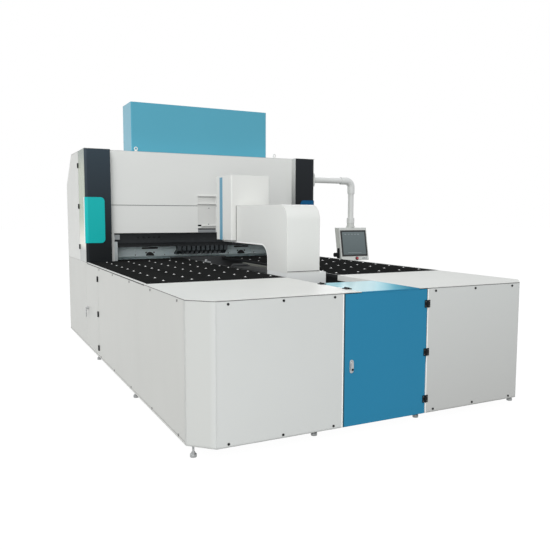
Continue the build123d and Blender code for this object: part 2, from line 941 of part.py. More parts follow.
# Lower beam: an upright under the lower tool and a shelf behind it for the blade slide
with BuildPart() as lower_beam:
    with BuildSketch(Plane.YZ):
        with BuildLine():
            Polyline(
                (lower_tool_front, lower_beam_bottom),
                (shelf_rear, lower_beam_bottom),
                (shelf_rear, shelf_top),
                (lower_tool_front + lower_tool_depth, shelf_top),
                (lower_tool_front + lower_tool_depth, lower_tool_bottom),
                (lower_tool_front, lower_tool_bottom),
                close=True,
            )
        make_face()
    extrude(amount=frame_inner, both=True)
save(lower_beam, "lower_beam")

# Lower tool: the bending bar with a bevelled rear edge
with BuildPart() as lower_tool:
    lower_tool_rear = lower_tool_front + lower_tool_depth
    with BuildSketch(Plane.YZ):
        with BuildLine():
            Polyline(
                (lower_tool_front, lower_tool_bottom),
                (lower_tool_rear - lower_tool_bevel, lower_tool_bottom),
                (lower_tool_rear - lower_tool_bevel, lower_tool_bottom + sheet),
                (lower_tool_rear, lower_tool_top - sheet),
                (lower_tool_rear, lower_tool_top),
                (lower_tool_front, lower_tool_top),
                close=True,
            )
        make_face()
    extrude(amount=lower_tool_half, both=True)
save(lower_tool, "lower_tool")

# Blade slide: an upright on a foot that feeds along the shelf
with BuildPart() as blade_slide:
    slide_front = carrier_rear + run_clearance
    with BuildSketch(Plane.YZ):
        with BuildLine():
            Polyline(
                (slide_front, shelf_top + run_clearance),
                (slide_rear, shelf_top + run_clearance),
                (slide_rear, shelf_top + slide_foot),
                (slide_front + slide_upright, shelf_top + slide_foot * 2),
                (slide_front + slide_upright, carrier_top),
                (slide_front, carrier_top),
                close=True,
            )
        make_face()
    extrude(amount=carrier_half, both=True)
save(blade_slide, "blade_slide")

# Blade carrier: a C section with a blade on each jaw, ribbed, slotted and drilled on its face
with BuildPart() as blade_carrier:
    with BuildSketch(Plane.YZ):
        with BuildLine():
            Polyline(
                (carrier_front, carrier_top),
                (carrier_front, carrier_mouth_top + blade_tip),
                (carrier_front + blade_tip, carrier_mouth_top),
                (carrier_web_front, carrier_mouth_top),
                (carrier_web_front, carrier_mouth_bottom),
                (carrier_front + carrier_jaw_lead + blade_tip, carrier_mouth_bottom),
                (carrier_front + carrier_jaw_lead, carrier_mouth_bottom - blade_tip),
                (carrier_front + carrier_jaw_lead, carrier_bottom),
                (carrier_rear, carrier_bottom),
                (carrier_rear, carrier_top),
                close=True,
            )
        make_face()
    extrude(amount=carrier_half, both=True)
    for side in (-1, 1):
        hole_plane = Plane(
            (side * carrier_hole_x, carrier_front, carrier_hole_height), x_dir=(1, 0, 0), z_dir=(0, -1, 0)
        )
        rib_bottom = carrier_mouth_top + blade_tip
        with BuildSketch(hole_plane):
            with Locations(
                (-carrier_rib_spread, (carrier_top + rib_bottom) / 2 - carrier_hole_height),
                (carrier_rib_spread, (carrier_top + rib_bottom) / 2 - carrier_hole_height),
            ):
                Rectangle(carrier_rib_width, carrier_top - rib_bottom)
        extrude(amount=carrier_rib_reach)
        with BuildSketch(hole_plane.offset(carrier_rib_reach)):
            Circle(carrier_hole_r)
            with Locations((0, carrier_slot_rise)):
                SlotOverall(carrier_slot_length, carrier_slot_width)
            with Locations(
                (-carrier_bolt_spread, carrier_bolt_rise),
                (carrier_bolt_spread, carrier_bolt_rise),
            ):
                Circle(carrier_bolt_r)
            with Locations(
                (-carrier_pin_spread, carrier_pin_rise),
                (carrier_pin_spread, carrier_pin_rise),
            ):
                Circle(carrier_pin_r)
        extrude(amount=-carrier_hole_depth, mode=Mode.SUBTRACT)
save(blade_carrier, "blade_carrier")

# Carriage of the manipulator: saddle on four bearing blocks, the riser and the screw's nut
with BuildPart() as carriage:
    saddle_front = arm_front - saddle_front_lead
    saddle_rear = column_rear + saddle_rear_lead
    saddle_top = saddle_bottom + saddle_thick
    block((-saddle_half, saddle_half), (saddle_front, saddle_rear), (saddle_bottom, saddle_top))
    block((-arm_half, riser_right), (arm_front, column_rear), (saddle_top, arm_bottom))
    for side in (-1, 1):
        for y in (saddle_front, saddle_rear - block_length):
            block(
                (side * bed_beam_x - block_width / 2, side * bed_beam_x + block_width / 2),
                (y, y + block_length),
                (bed_top + block_gap * 2, saddle_bottom),
            )
        block(
            (
                side * bed_beam_x - guide_width / 2 - block_gap,
                side * bed_beam_x + guide_width / 2 + block_gap,
            ),
            (saddle_front - overrun, saddle_rear + overrun),
            (bed_top, bed_top + guide_height + run_clearance),
            mode=Mode.SUBTRACT,
        )
    nut_y = (arm_front + column_rear) / 2
    block(
        (-nut_half, nut_half),
        (nut_y - nut_length / 2, nut_y + nut_length / 2),
        (screw_height - nut_half, saddle_bottom),
    )
    with Locations(Plane((0, nut_y, screw_height), x_dir=(1, 0, 0), z_dir=(0, 1, 0))):
        Cylinder(screw_r + pin_clearance, nut_length + overrun, mode=Mode.SUBTRACT)
save(carriage, "carriage")

# Arm of the manipulator: a C-shaped casing, open below, with the press guide as its tongue
with BuildPart() as manipulator_arm:
    for wall, half, mode in ((0, arm_half, Mode.ADD), (arm_wall, arm_half - arm_wall, Mode.SUBTRACT)):
        with BuildSketch(Plane.YZ):
            with BuildLine():
                nose = arm_nose_r - wall
                throat = arm_throat_r + wall
                bottom = arm_bottom - (overrun if wall else 0)
                end = head_front + (overrun if wall else 0)
                Line((arm_front + wall, bottom), (arm_front + wall, arm_top - arm_nose_r))
                RadiusArc(
                    (arm_front + wall, arm_top - arm_nose_r),
                    (arm_front + arm_nose_r, arm_top - wall),
                    nose,
                )
                Polyline(
                    (arm_front + arm_nose_r, arm_top - wall),
                    (end, arm_top - wall),
                    (end, arm_under + wall),
                    (column_rear + arm_throat_r, arm_under + wall),
                )
                RadiusArc(
                    (column_rear + arm_throat_r, arm_under + wall),
                    (column_rear - wall, arm_under - arm_throat_r),
                    -throat,
                )
                Polyline(
                    (column_rear - wall, arm_under - arm_throat_r),
                    (column_rear - wall, bottom),
                    (arm_front + wall, bottom),
                )
            make_face()
        extrude(amount=half, both=True, mode=mode)
    block(
        (-arm_half, arm_half),
        (head_front - arm_wall, press_y + tongue_margin),
        (arm_under, arm_under + tongue_thick),
    )
    with Locations((0, press_y, arm_under)):
        Cylinder(press_rod_r + pin_clearance, tongue_thick * 3, mode=Mode.SUBTRACT)
save(manipulator_arm, "manipulator_arm")

# Clamp head: a tall casing with rounded upright edges, open below
with BuildPart() as clamp_head:
    for wall, mode in ((0, Mode.ADD), (head_wall, Mode.SUBTRACT)):
        with BuildSketch(Plane.XY.offset(arm_under + tongue_thick)):
            with Locations((0, head_front + head_depth / 2)):
                RectangleRounded((head_half - wall) * 2, head_depth - wall * 2, head_edge_r - wall)
        extrude(amount=head_top - wall - arm_under - tongue_thick, mode=mode)
save(clamp_head, "clamp_head")

# Stripes: coloured strips up both sides of the clamp head
with BuildPart() as head_stripes:
    for x_span in mirrored(head_half, head_half + stripe_thick):
        block(
            x_span,
            (press_y - stripe_width / 2, press_y + stripe_width / 2),
            (arm_under + tongue_thick, head_top - head_edge_r),
        )
save(head_stripes, "head_stripes")

# Press rod: the clamp's rod with a spigot for the upper disc
with BuildPart() as press_rod:
    with Locations((0, press_y, press_pad_top)):
        Cylinder(press_rod_r, press_rod_length, align=(Align.CENTER, Align.CENTER, Align.MIN))
        Cylinder(spigot_r, spigot_height, align=(Align.CENTER, Align.CENTER, Align.MAX))
save(press_rod, "press_rod")

# Upper disc, turning on the rod's spigot
with BuildPart() as upper_disc:
    with Locations((0, press_y, press_pad_top - run_clearance)):
        Cylinder(upper_disc_r, upper_disc_thick, align=(Align.CENTER, Align.CENTER, Align.MAX))
    chamfer(edges().filter_by(GeomType.CIRCLE).sort_by(Axis.Z)[0], length=upper_disc_edge)
    with Locations((0, press_y, press_pad_top)):
        Cylinder(
            spigot_r + pin_clearance,
            spigot_height + run_clearance,
            align=(Align.CENTER, Align.CENTER, Align.MAX),
            mode=Mode.SUBTRACT,
        )
save(upper_disc, "upper_disc")

# Lower arm: a beam in the slot that rises to a hub under the press
with BuildPart() as lower_arm:
    with BuildSketch(Plane.YZ):
        with BuildLine():
            Polyline(
                (column_rear, lower_arm_bottom),
                (press_y, lower_arm_bottom + lower_arm_tip_drop),
                (press_y, lower_arm_top),
                (column_rear, lower_arm_top),
                close=True,
            )
        make_face()
    extrude(amount=lower_arm_half, both=True)
    with Locations((0, press_y, lower_arm_bottom + lower_arm_tip_drop)):
        Cylinder(
            lower_hub_r,
            table_height - lower_disc_thick - lower_arm_bottom - lower_arm_tip_drop,
            align=(Align.CENTER, Align.CENTER, Align.MIN),
        )
    with Locations((0, press_y, table_height)):
        Cylinder(
            spigot_r + pin_clearance,
            lower_disc_thick + spigot_height * 2,
            align=(Align.CENTER, Align.CENTER, Align.MAX),
            mode=Mode.SUBTRACT,
        )
save(lower_arm, "lower_arm")

# Lower disc, turning in the hub and standing just proud of the table
with BuildPart() as lower_disc:
    disc_bottom = table_height - lower_disc_thick + run_clearance
    with Locations((0, press_y, disc_bottom)):
        Cylinder(
            lower_disc_r,
            table_height + lower_disc_rise - disc_bottom,
            align=(Align.CENTER, Align.CENTER, Align.MIN),
        )
        Cylinder(spigot_r, spigot_height, align=(Align.CENTER, Align.CENTER, Align.MAX))
    chamfer(edges().filter_by(GeomType.CIRCLE).sort_by(Axis.Z)[-1], length=lower_disc_rise)
save(lower_disc, "lower_disc")

# Hood: front plate with side flanges that run forward to the column trims, on two end posts
with BuildPart() as hood:
    with BuildSketch(Plane.XY.offset(band_bottom)):
        with BuildLine():
            Polyline(
                (-trim_inner + sheet, head_face + sheet),
                (-trim_inner + sheet, hood_face),
                (trim_inner - sheet, hood_face),
                (trim_inner - sheet, head_face + sheet),
            )
            offset(amount=sheet, side=Side.LEFT)
        make_face()
    extrude(amount=roof_under - band_bottom)
    block(
        (-trim_inner + sheet, trim_inner - sheet),
        (hood_face - overrun, hood_face + overrun),
        (band_bottom - overrun, hood_bottom),
        mode=Mode.SUBTRACT,
    )
    block(
        (-recess_half, recess_half),
        (hood_face - overrun, hood_face + overrun),
        (hood_bottom - overrun, recess_top),
        mode=Mode.SUBTRACT,
    )
    for x_span in mirrored(trim_inner - sheet - hood_post_width, trim_inner - sheet):
        block(x_span, (hood_face, hood_face + hood_post_width), (table_height, band_bottom))
save(hood, "hood")

# Lower band of the hood: folded trays on both sides of the middle recess
with BuildPart() as hood_band:
    for x_span in mirrored(recess_half, trim_inner - sheet):
        block(x_span, (hood_face, hood_face + sheet), (band_bottom, hood_bottom - seam))
        block(x_span, (hood_face + sheet, hood_face + band_return), (band_bottom, band_bottom + sheet))
save(hood_band, "hood_band")

# Middle panel: a plate behind the recess with two ledges across it
with BuildPart() as centre_panel:
    block(
        (-recess_half - recess_overlap, recess_half + recess_overlap),
        (hood_face + sheet, hood_face + sheet * 2),
        (recess_bottom, recess_top + recess_overlap),
    )
    for z in (recess_bottom, recess_step, recess_top - ledge_height):
        block(
            (-recess_half, recess_half),
            (hood_face - ledge_reach, hood_face + sheet),
            (z, z + ledge_height),
        )
save(centre_panel, "centre_panel")

# Column trims: folded front plates with a cut outer corner
with BuildPart() as column_trims:
    for side in (-1, 1):
        with BuildSketch(Plane.XY.offset(table_height)):
            with BuildLine():
                Polyline(
                    (side * trim_inner, hood_face),
                    (side * trim_inner, head_face),
                    (side * (half_width - trim_corner), head_face),
                    (side * half_width, head_face + trim_corner),
                )
                offset(amount=sheet, side=Side.LEFT if side > 0 else Side.RIGHT)
            make_face()
        extrude(amount=roof_under - table_height)
save(column_trims, "column_trims")

# Column strips: side plates between the trims and the side covers
with BuildPart() as column_strips:
    for x_span in mirrored(side_inner, half_width):
        block(x_span, (head_face + trim_corner + sheet, seam_y), (cover_under, roof_under))
save(column_strips, "column_strips")

# Column windows: panes that wrap the outer corner of the trims
with BuildPart() as column_windows:
    for side in (-1, 1):
        with BuildSketch(Plane.XY.offset(window_bottom)):
            with BuildLine():
                Polyline(
                    (side * (half_width - window_width), head_face),
                    (side * (half_width - trim_corner), head_face),
                    (side * half_width, head_face + trim_corner),
                    (side * half_width, head_face + trim_corner + window_wrap),
                )
                offset(amount=window_thick, side=Side.RIGHT if side > 0 else Side.LEFT)
            make_face()
        extrude(amount=window_top - window_bottom)
    inner_edges = edges().filter_by(Axis.Y).filter_by(
        lambda edge: abs(edge.center().X) < half_width - window_width + overrun
    )
    fillet(inner_edges, radius=window_corner_r)
save(column_windows, "column_windows")

# Side covers of the columns: the right one fixed, the left one a door
cover_outline = [
    (seam_y + seam, table_height),
    (rear_inner, table_height),
    (rear_inner, rear_height),
    (slope_start, roof_under),
    (seam_y + seam, roof_under),
]
with BuildPart() as right_column_cover:
    with BuildSketch(Plane.YZ.offset(side_inner)):
        with BuildLine():
            Polyline(*cover_outline, close=True)
        make_face()
    extrude(amount=sheet)
save(right_column_cover, "right_column_cover")

with BuildPart() as column_door:
    with BuildSketch(Plane.YZ.offset(-half_width)):
        with BuildLine():
            Polyline(*cover_outline, close=True)
        make_face()
        offset(amount=-door_gap / 2, mode=Mode.REPLACE)
    extrude(amount=sheet)
    with BuildSketch(Plane.YZ.offset(-side_inner)):
        with BuildLine():
            Polyline(*cover_outline, close=True)
        make_face()
        offset(amount=-door_return, mode=Mode.REPLACE)
        offset(amount=-sheet, mode=Mode.SUBTRACT)
    extrude(amount=sheet * 2)
save(column_door, "column_door")

# Roof: one folded plate over the head and down its rear slope, set back over the hood
with BuildPart() as roof_cover:
    with BuildSketch(Plane.YZ):
        with BuildLine():
            Polyline(
                (head_face, roof_under),
                (slope_start, roof_under),
                (rear_inner, rear_height),
            )
            offset(amount=sheet, side=Side.LEFT)
        make_face()
    extrude(amount=half_width, both=True)
    block(
        (-trim_inner, trim_inner),
        (head_face - overrun, hood_face),
        (roof_under - overrun, head_height + overrun),
        mode=Mode.SUBTRACT,
    )
    with Locations((-drive_x, drive_y, head_height), (drive_x, drive_y, head_height)):
        Cylinder(drive_motor_r + drive_bore_gap, sheet * 4, mode=Mode.SUBTRACT)
save(roof_cover, "roof_cover")

# Rear panel between the side panels
with BuildPart() as rear_panel:
    block((-half_width, half_width), (rear_inner, machine_length), (skirt_gap, rear_height - sheet))
save(rear_panel, "rear_panel")

# Drive cover: the coloured case on the roof, open below
with BuildPart() as drive_cover:
    cover_front = head_face + drive_cover_setback
    for wall, mode in ((0, Mode.ADD), (sheet, Mode.SUBTRACT)):
        with BuildSketch(Plane.XY.offset(head_height)):
            with Locations((0, cover_front + drive_cover_depth / 2)):
                RectangleRounded(
                    (drive_cover_half - wall) * 2,
                    drive_cover_depth - wall * 2,
                    drive_cover_edge_r - wall,
                )
        extrude(amount=drive_cover_height - wall, mode=mode)
save(drive_cover, "drive_cover")

# Operator panel bracket: a plate on the column with two lugs and the pivot pin
with BuildPart() as panel_bracket:
    pivot_x = half_width + panel_pivot_lead
    lug_low = boss_half + run_clearance
    with BuildSketch(Plane.YZ.offset(half_width)):
        with Locations((panel_y, panel_arm_height)):
            RectangleRounded(bracket_width, bracket_height, trim_corner)
    extrude(amount=bracket_plate)
    for z in (panel_arm_height - lug_low - lug_thick, panel_arm_height + lug_low):
        with BuildSketch(Plane.XY.offset(z)):
            with Locations((pivot_x, panel_y)):
                Circle(lug_half)
            with Locations(((half_width + pivot_x) / 2, panel_y)):
                Rectangle(pivot_x - half_width, lug_half * 2)
        extrude(amount=lug_thick)
    with Locations((pivot_x, panel_y, panel_arm_height)):
        Cylinder(pivot_pin_r, (lug_low + lug_thick) * 2)
save(panel_bracket, "panel_bracket")

# Operator panel arm: boss on the pin, bent tube with a thicker elbow and a lower sleeve
with BuildPart() as panel_arm:
    bend_start = (panel_reach - panel_bend_r, panel_y, panel_arm_height)
    bend_end = (panel_reach, panel_y, panel_arm_height - panel_bend_r)
    bend_turn = panel_bend_r * (1 - 0.5**0.5)
    bend_middle = (panel_reach - bend_turn, panel_y, panel_arm_height - bend_turn)
    with Locations((pivot_x, panel_y, panel_arm_height)):
        Cylinder(boss_r, boss_half * 2)
    with BuildLine():
        Line((pivot_x, panel_y, panel_arm_height), bend_start)
        ThreePointArc(bend_start, bend_middle, bend_end)
        Line(bend_end, (panel_reach, panel_y, swivel_height))
    with BuildSketch(Plane((pivot_x, panel_y, panel_arm_height), x_dir=(0, 1, 0), z_dir=(1, 0, 0))):
        Circle(panel_tube_r)
    sweep()
    with BuildLine():
        Line((bend_start[0] - elbow_length, panel_y, panel_arm_height), bend_start)
        ThreePointArc(bend_start, bend_middle, bend_end)
        Line(bend_end, (panel_reach, panel_y, bend_end[2] - elbow_length))
    with BuildSketch(
        Plane((bend_start[0] - elbow_length, panel_y, panel_arm_height), x_dir=(0, 1, 0), z_dir=(1, 0, 0))
    ):
        Circle(panel_tube_r + elbow_grow)
    sweep()
    with Locations((panel_reach, panel_y, swivel_height)):
        Cylinder(swivel_sleeve_r, swivel_sleeve_height, align=(Align.CENTER, Align.CENTER, Align.MIN))
    with Locations((pivot_x, panel_y, panel_arm_height)):
        Cylinder(pivot_pin_r + pin_clearance, boss_half * 2, mode=Mode.SUBTRACT)
save(panel_arm, "panel_arm")

# Operator panel: a leaning case of even depth under its swivel coupler and collar
with BuildPart() as panel_case:
    case_rear = panel_y + panel_depth / 2
    case_top_front = case_rear - panel_depth
    with BuildSketch(Plane.YZ.offset(panel_reach)):
        with BuildLine():
            Polyline(
                (case_rear, panel_top),
                (case_top_front, panel_top),
                (case_top_front - panel_tilt_run, panel_top - panel_drop),
                (case_rear - panel_tilt_run, panel_top - panel_drop),
                close=True,
            )
        make_face()
    extrude(amount=panel_width / 2, both=True)
    fillet(edges().filter_by(Axis.X), radius=panel_edge_r)
    with Locations((panel_reach, panel_y, panel_top)):
        Cylinder(
            coupler_r,
            swivel_height - run_clearance - panel_top,
            align=(Align.CENTER, Align.CENTER, Align.MIN),
        )
        Cylinder(coupler_r + collar_grow, collar_height, align=(Align.CENTER, Align.CENTER, Align.MIN))
    face_plane = Plane(
        (panel_reach, case_top_front, panel_top),
        x_dir=(1, 0, 0),
        z_dir=(0, -panel_drop, panel_tilt_run),
    )
    with Locations(face_plane):
        with Locations((estop_x, estop_margin - panel_tilt_length, 0)):
            Cylinder(estop_stem_r + pin_clearance, estop_height * 2, mode=Mode.SUBTRACT)
save(panel_case, "panel_case")

# Screen: a framed pane on the sloping face
with BuildPart() as panel_screen:
    with BuildSketch(face_plane):
        with Locations((0, -screen_top_margin - screen_height / 2)):
            RectangleRounded(screen_width, screen_height, panel_edge_r)
    extrude(amount=screen_thick)
    with BuildSketch(face_plane.offset(screen_thick)):
        with Locations((0, -screen_top_margin - screen_height / 2)):
            Rectangle(screen_width - screen_border * 2, screen_height - screen_border * 2)
    extrude(amount=-screen_recess, mode=Mode.SUBTRACT)
save(panel_screen, "panel_screen")

# Emergency stop: mushroom head on a stem that slides into the case
with BuildPart() as emergency_stop:
    with Locations(face_plane):
        with Locations((estop_x, estop_margin - panel_tilt_length, estop_travel + run_clearance)):
            Cylinder(estop_r, estop_height, align=(Align.CENTER, Align.CENTER, Align.MIN))
            Cylinder(
                estop_stem_r,
                estop_travel + run_clearance + estop_height / 4,
                align=(Align.CENTER, Align.CENTER, Align.MAX),
            )
    crown = edges().filter_by(GeomType.CIRCLE).sort_by(Axis((0, 0, 0), face_plane.z_dir))[-1]
    fillet(crown, radius=estop_height / 3)
save(emergency_stop, "emergency_stop")

# Panel screws: low round heads along the front and side panels
with BuildPart() as panel_screws:
    screw_rows = (skirt_gap + screw_edge, cover_under - screw_edge)
    front_places = [(x, z) for x in screw_columns for z in screw_rows]
    front_places = front_places + [(-x, z) for x, z in front_places]
    with BuildSketch(Plane.XZ):
        with Locations(*front_places):
            Circle(screw_head_r)
    extrude(amount=screw_head_height)
    side_places = [(y, z) for y in side_screw_columns for z in screw_rows]
    for side in (-1, 1):
        with BuildSketch(Plane.YZ.offset(side * half_width)):
            with Locations(*side_places):
                Circle(screw_head_r)
        extrude(amount=side * screw_head_height)
save(panel_screws, "panel_screws")
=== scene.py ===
"""Looks of the panel bending center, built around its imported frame."""
import math

import bpy
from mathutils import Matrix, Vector


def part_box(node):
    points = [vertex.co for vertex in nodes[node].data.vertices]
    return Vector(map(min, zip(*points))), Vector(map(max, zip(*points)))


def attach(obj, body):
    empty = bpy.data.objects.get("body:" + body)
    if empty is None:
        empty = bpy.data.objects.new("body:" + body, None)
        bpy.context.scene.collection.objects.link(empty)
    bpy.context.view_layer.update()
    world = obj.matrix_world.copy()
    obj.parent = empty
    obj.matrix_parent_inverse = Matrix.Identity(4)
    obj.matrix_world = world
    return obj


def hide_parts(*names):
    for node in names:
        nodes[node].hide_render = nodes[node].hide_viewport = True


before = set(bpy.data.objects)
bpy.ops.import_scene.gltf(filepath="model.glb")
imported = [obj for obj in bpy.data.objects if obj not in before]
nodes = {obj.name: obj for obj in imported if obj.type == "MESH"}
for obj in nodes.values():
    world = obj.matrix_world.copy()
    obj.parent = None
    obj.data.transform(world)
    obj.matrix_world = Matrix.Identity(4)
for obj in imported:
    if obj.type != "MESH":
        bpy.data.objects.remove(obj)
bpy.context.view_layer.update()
scene = bpy.context.scene
scene.view_settings.view_transform = "Standard"

# Places are given from the machine's middle plane, its front face and the floor, in metres
rear_low, rear_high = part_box("rear_panel")
middle_x = (rear_low.x + rear_high.x) / 2
front_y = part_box("front_panels")[0].y
half_width = (rear_high.x - rear_low.x) / 2
table_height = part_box("table_tops")[1].z
head_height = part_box("roof_cover")[1].z
head_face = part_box("column_trims")[0].y - front_y
cover_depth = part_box("front_covers")[1].y - front_y
return_wrap = 0.0036
hood_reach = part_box("hood")[1].x - middle_x - return_wrap
slot_left = middle_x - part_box("slot_lid")[0].x
slot_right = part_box("slot_lid")[1].x - middle_x

# Grain of the paints: noise scales, and the depth of the orange peel in metres
cloud_scale = 1.7
peel_scale = 460.0
smear_scale = 5.5
rub_scale = 36.0
peel_depth = 0.0006


class Socket:
    """A shader socket that Python sums work on."""

    def __init__(self, finish, link):
        self.finish = finish
        self.link = link

    def sum(self, operation, first, second=0.0):
        return self.finish.node("ShaderNodeMath", {"operation": operation}, {0: first, 1: second})

    def __add__(self, other):
        return self.sum("ADD", self, other)

    def __sub__(self, other):
        return self.sum("SUBTRACT", self, other)

    def __rsub__(self, other):
        return self.sum("SUBTRACT", other, self)

    def __mul__(self, other):
        return self.sum("MULTIPLY", self, other)

    def __gt__(self, other):
        return self.sum("GREATER_THAN", self, other)

    def __lt__(self, other):
        return self.sum("LESS_THAN", self, other)


class Finish:
    """One material, or the world, and the nodes that make it."""

    def __init__(self, name, kind=bpy.data.materials):
        self.material = kind.new(name)
        self.material.use_nodes = True
        self.tree = self.material.node_tree
        self.tree.nodes.clear()
        self.place = self.node("ShaderNodeTexCoord", {}, {}, "Object")

    def node(self, kind, settings, values, output=0):
        """Add a node: its settings first, then the values or links of its sockets."""
        made = self.tree.nodes.new(kind)
        for name, setting in settings.items():
            if name == "stops":
                ramp = made.color_ramp.elements
                while len(ramp) < len(setting):
                    ramp.new(0.5)
                for stop, (position, colour) in zip(ramp, setting):
                    stop.position = position
                    stop.color = colour
            else:
                setattr(made, name, setting)
        for name, value in values.items():
            if isinstance(value, Socket):
                self.tree.links.new(value.link, made.inputs[name])
            else:
                made.inputs[name].default_value = value
        return Socket(self, made.outputs[output]) if made.outputs else None

    def noise(self, scale, detail=2.0, stretch=(1, 1, 1), roughness=0.5):
        place = self.place
        if stretch != (1, 1, 1):
            place = self.node("ShaderNodeMapping", {}, {"Vector": self.place, "Scale": stretch})
        values = {"Vector": place, "Scale": scale, "Detail": detail, "Roughness": roughness}
        return self.node("ShaderNodeTexNoise", {}, values)

    def axis(self, name):
        return self.node("ShaderNodeSeparateXYZ", {}, {0: self.place}, name)

    def mix(self, factor, first, second):
        """Change over from one colour to another; each is fixed or already varies."""
        first, second = (side if isinstance(side, Socket) else (*side, 1) for side in (first, second))
        # A mix node keeps its colours in sockets 6 and 7, and gives the mixed one from output 2
        return self.node("ShaderNodeMix", {"data_type": "RGBA"}, {0: factor, 6: first, 7: second}, 2)

    def span(self, value, start, end, low=0.0, high=1.0):
        """Carry a value over from one range to another, held at its ends."""
        return self.node("ShaderNodeMapRange", {}, {0: value, 1: start, 2: end, 3: low, 4: high})

    def rise(self, bottom, top):
        """0 at the lower height, 1 at the upper one."""
        return self.span(self.axis("Z"), bottom, top)

    def beyond(self, reach):
        """1 further from the machine's middle plane than the reach, 0 within it."""
        across = self.axis("X") - middle_x
        return across.sum("ABSOLUTE", across) > reach

    def soft_edge(self, radius):
        return self.node("ShaderNodeBevel", {"samples": 4}, {"Radius": radius})

    def edge_mask(self, rounded):
        """Near 1 along the piece's edges, 0 on its faces."""
        on_face, on_edge = 0.995, 0.85
        flat = self.node("ShaderNodeNewGeometry", {}, {}, "True Normal")
        dot = {"operation": "DOT_PRODUCT"}
        facing = self.node("ShaderNodeVectorMath", dot, {0: rounded, 1: flat}, "Value")
        return self.span(facing, on_face, on_edge)

    def bump(self, height, strength, distance, normal=None):
        values = {"Height": height, "Strength": strength, "Distance": distance}
        if normal:
            values["Normal"] = normal
        return self.node("ShaderNodeBump", {}, values)

    def peel(self, strength, normal):
        """The orange peel of stoved paint."""
        return self.bump(self.noise(peel_scale, 2.0), strength, peel_depth, normal)

    def surface(self, values):
        shader = self.node("ShaderNodeBsdfPrincipled", {}, values)
        self.node("ShaderNodeOutputMaterial", {}, {"Surface": shader})
        return self.material


def shade(colour, amount):
    return tuple(min(1.0, channel * amount) for channel in colour)


def shaded_returns(paint, tone):
    """The hood's side returns lie in the columns' shade, more so towards the table."""
    deep_z, pale_z = 1.5, 2.1
    shaded = paint.mix(paint.rise(deep_z, pale_z), (0.24, 0.25, 0.25), (0.66, 0.67, 0.65))
    return paint.mix(paint.beyond(hood_reach), tone, shaded)


def front_fall(paint, tone):
    """The corner bend is painted darker for the less light it takes, and the right front panel is painted
    darker towards the floor; both are painted shade.
    """
    bend_start, bend_end, bend_share = 0.004, 0.03, 0.85
    skirt_z, cover_z = 0.08, 0.93
    turned = paint.span(paint.axis("Y"), front_y + bend_start, front_y + bend_end, 0.0, bend_share)
    tone = paint.mix(turned, tone, (0.568, 0.578, 0.556))
    # Painted shade: the right front panel darker towards the floor.
    low = paint.mix(paint.rise(skirt_z, cover_z), (0.515, 0.52, 0.505), (0.60, 0.615, 0.60))
    return paint.mix(paint.axis("X") > middle_x + slot_right, tone, low)


def door_edge(paint, tone):
    """The door's free edge turns back into the shade of its gap."""
    hem = 0.0065
    door_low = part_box("front_door")[0]
    return paint.mix(paint.axis("X") < door_low.x + hem, tone, (0.022, 0.085, 0.12))


def arch_rim(paint, tone):
    """The folded rim round the arm's arch catches the light from the floor."""
    nose_length, arch_top, bend, rim = 0.363, 1.180, 0.115, 0.013
    arm_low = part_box("manipulator_arm")[0]
    ahead = arm_low.y + nose_length + bend - paint.axis("Y")
    above = paint.axis("Z") - (arch_top - bend)
    ahead = ahead.sum("MAXIMUM", ahead, 0.0)
    above = above.sum("MAXIMUM", above, 0.0)
    away = ahead * ahead + above * above
    return paint.mix(away < (bend + rim) ** 2, tone, (1.0, 1.0, 0.98))


def powder_coat(name, colour, roughness=0.42, edge=0.003, peel=0.10, coat=0.0, shine=0.4, change=None):
    """Stoved powder paint: fine orange peel, faint clouding and slightly rubbed edges."""
    paint = Finish(name)
    rounded = paint.soft_edge(edge)
    cloud = paint.noise(cloud_scale, 3.0)
    tone = paint.mix(cloud, shade(colour, 0.965), shade(colour, 1.03))
    if change:
        tone = change(paint, tone)
    rubbed = paint.edge_mask(rounded) * paint.noise(rub_scale, 3.0) * 0.35
    base = paint.mix(rubbed, tone, shade(colour, 1.18))
    smear = paint.noise(smear_scale, 4.0, (1, 1, 0.35))
    return paint.surface({
        "Base Color": base,
        "Roughness": smear * 0.12 + (roughness - 0.06),
        "Specular IOR Level": shine,
        "Normal": paint.peel(peel, rounded),
        "Coat Weight": coat,
        "Coat Roughness": 0.12,
    })


def machined(name, colour, roughness=0.3, stretch=(1, 40, 40), metal=1.0, edge=0.0015):
    """Ground or brushed metal with its tool marks along one way and bright worn edges."""
    metalwork = Finish(name)
    rounded = metalwork.soft_edge(edge)
    marks = metalwork.noise(14.0, 4.0, stretch, 0.6)
    stain = metalwork.noise(6.0, 3.0)
    tone = metalwork.mix(stain, shade(colour, 0.86), shade(colour, 1.1))
    worn = metalwork.edge_mask(rounded) * 0.5
    base = metalwork.mix(worn, tone, shade(colour, 1.45))
    return metalwork.surface({
        "Base Color": base,
        "Metallic": metal,
        "Roughness": marks * 0.22 + (roughness - 0.11),
        "Normal": metalwork.bump(marks, 0.12, 0.0006, rounded),
    })


def blackened(name, colour, roughness=0.46, metal=0.35):
    """Blackened tool steel: dark, oily, rubbed bright on its corners."""
    tool = Finish(name)
    rounded = tool.soft_edge(0.002)
    stain = tool.noise(18.0, 4.0, (1, 1, 0.5))
    tone = tool.mix(stain, shade(colour, 0.7), shade(colour, 1.35))
    worn = tool.edge_mask(rounded) * tool.noise(60.0, 3.0) * 0.9
    base = tool.mix(worn, tone, (0.16, 0.17, 0.18))
    grit = tool.noise(240.0, 3.0)
    return tool.surface({
        "Base Color": base,
        "Metallic": metal,
        "Roughness": stain * 0.25 + (roughness - 0.12),
        "Normal": tool.bump(grit, 0.18, 0.0006, rounded),
    })


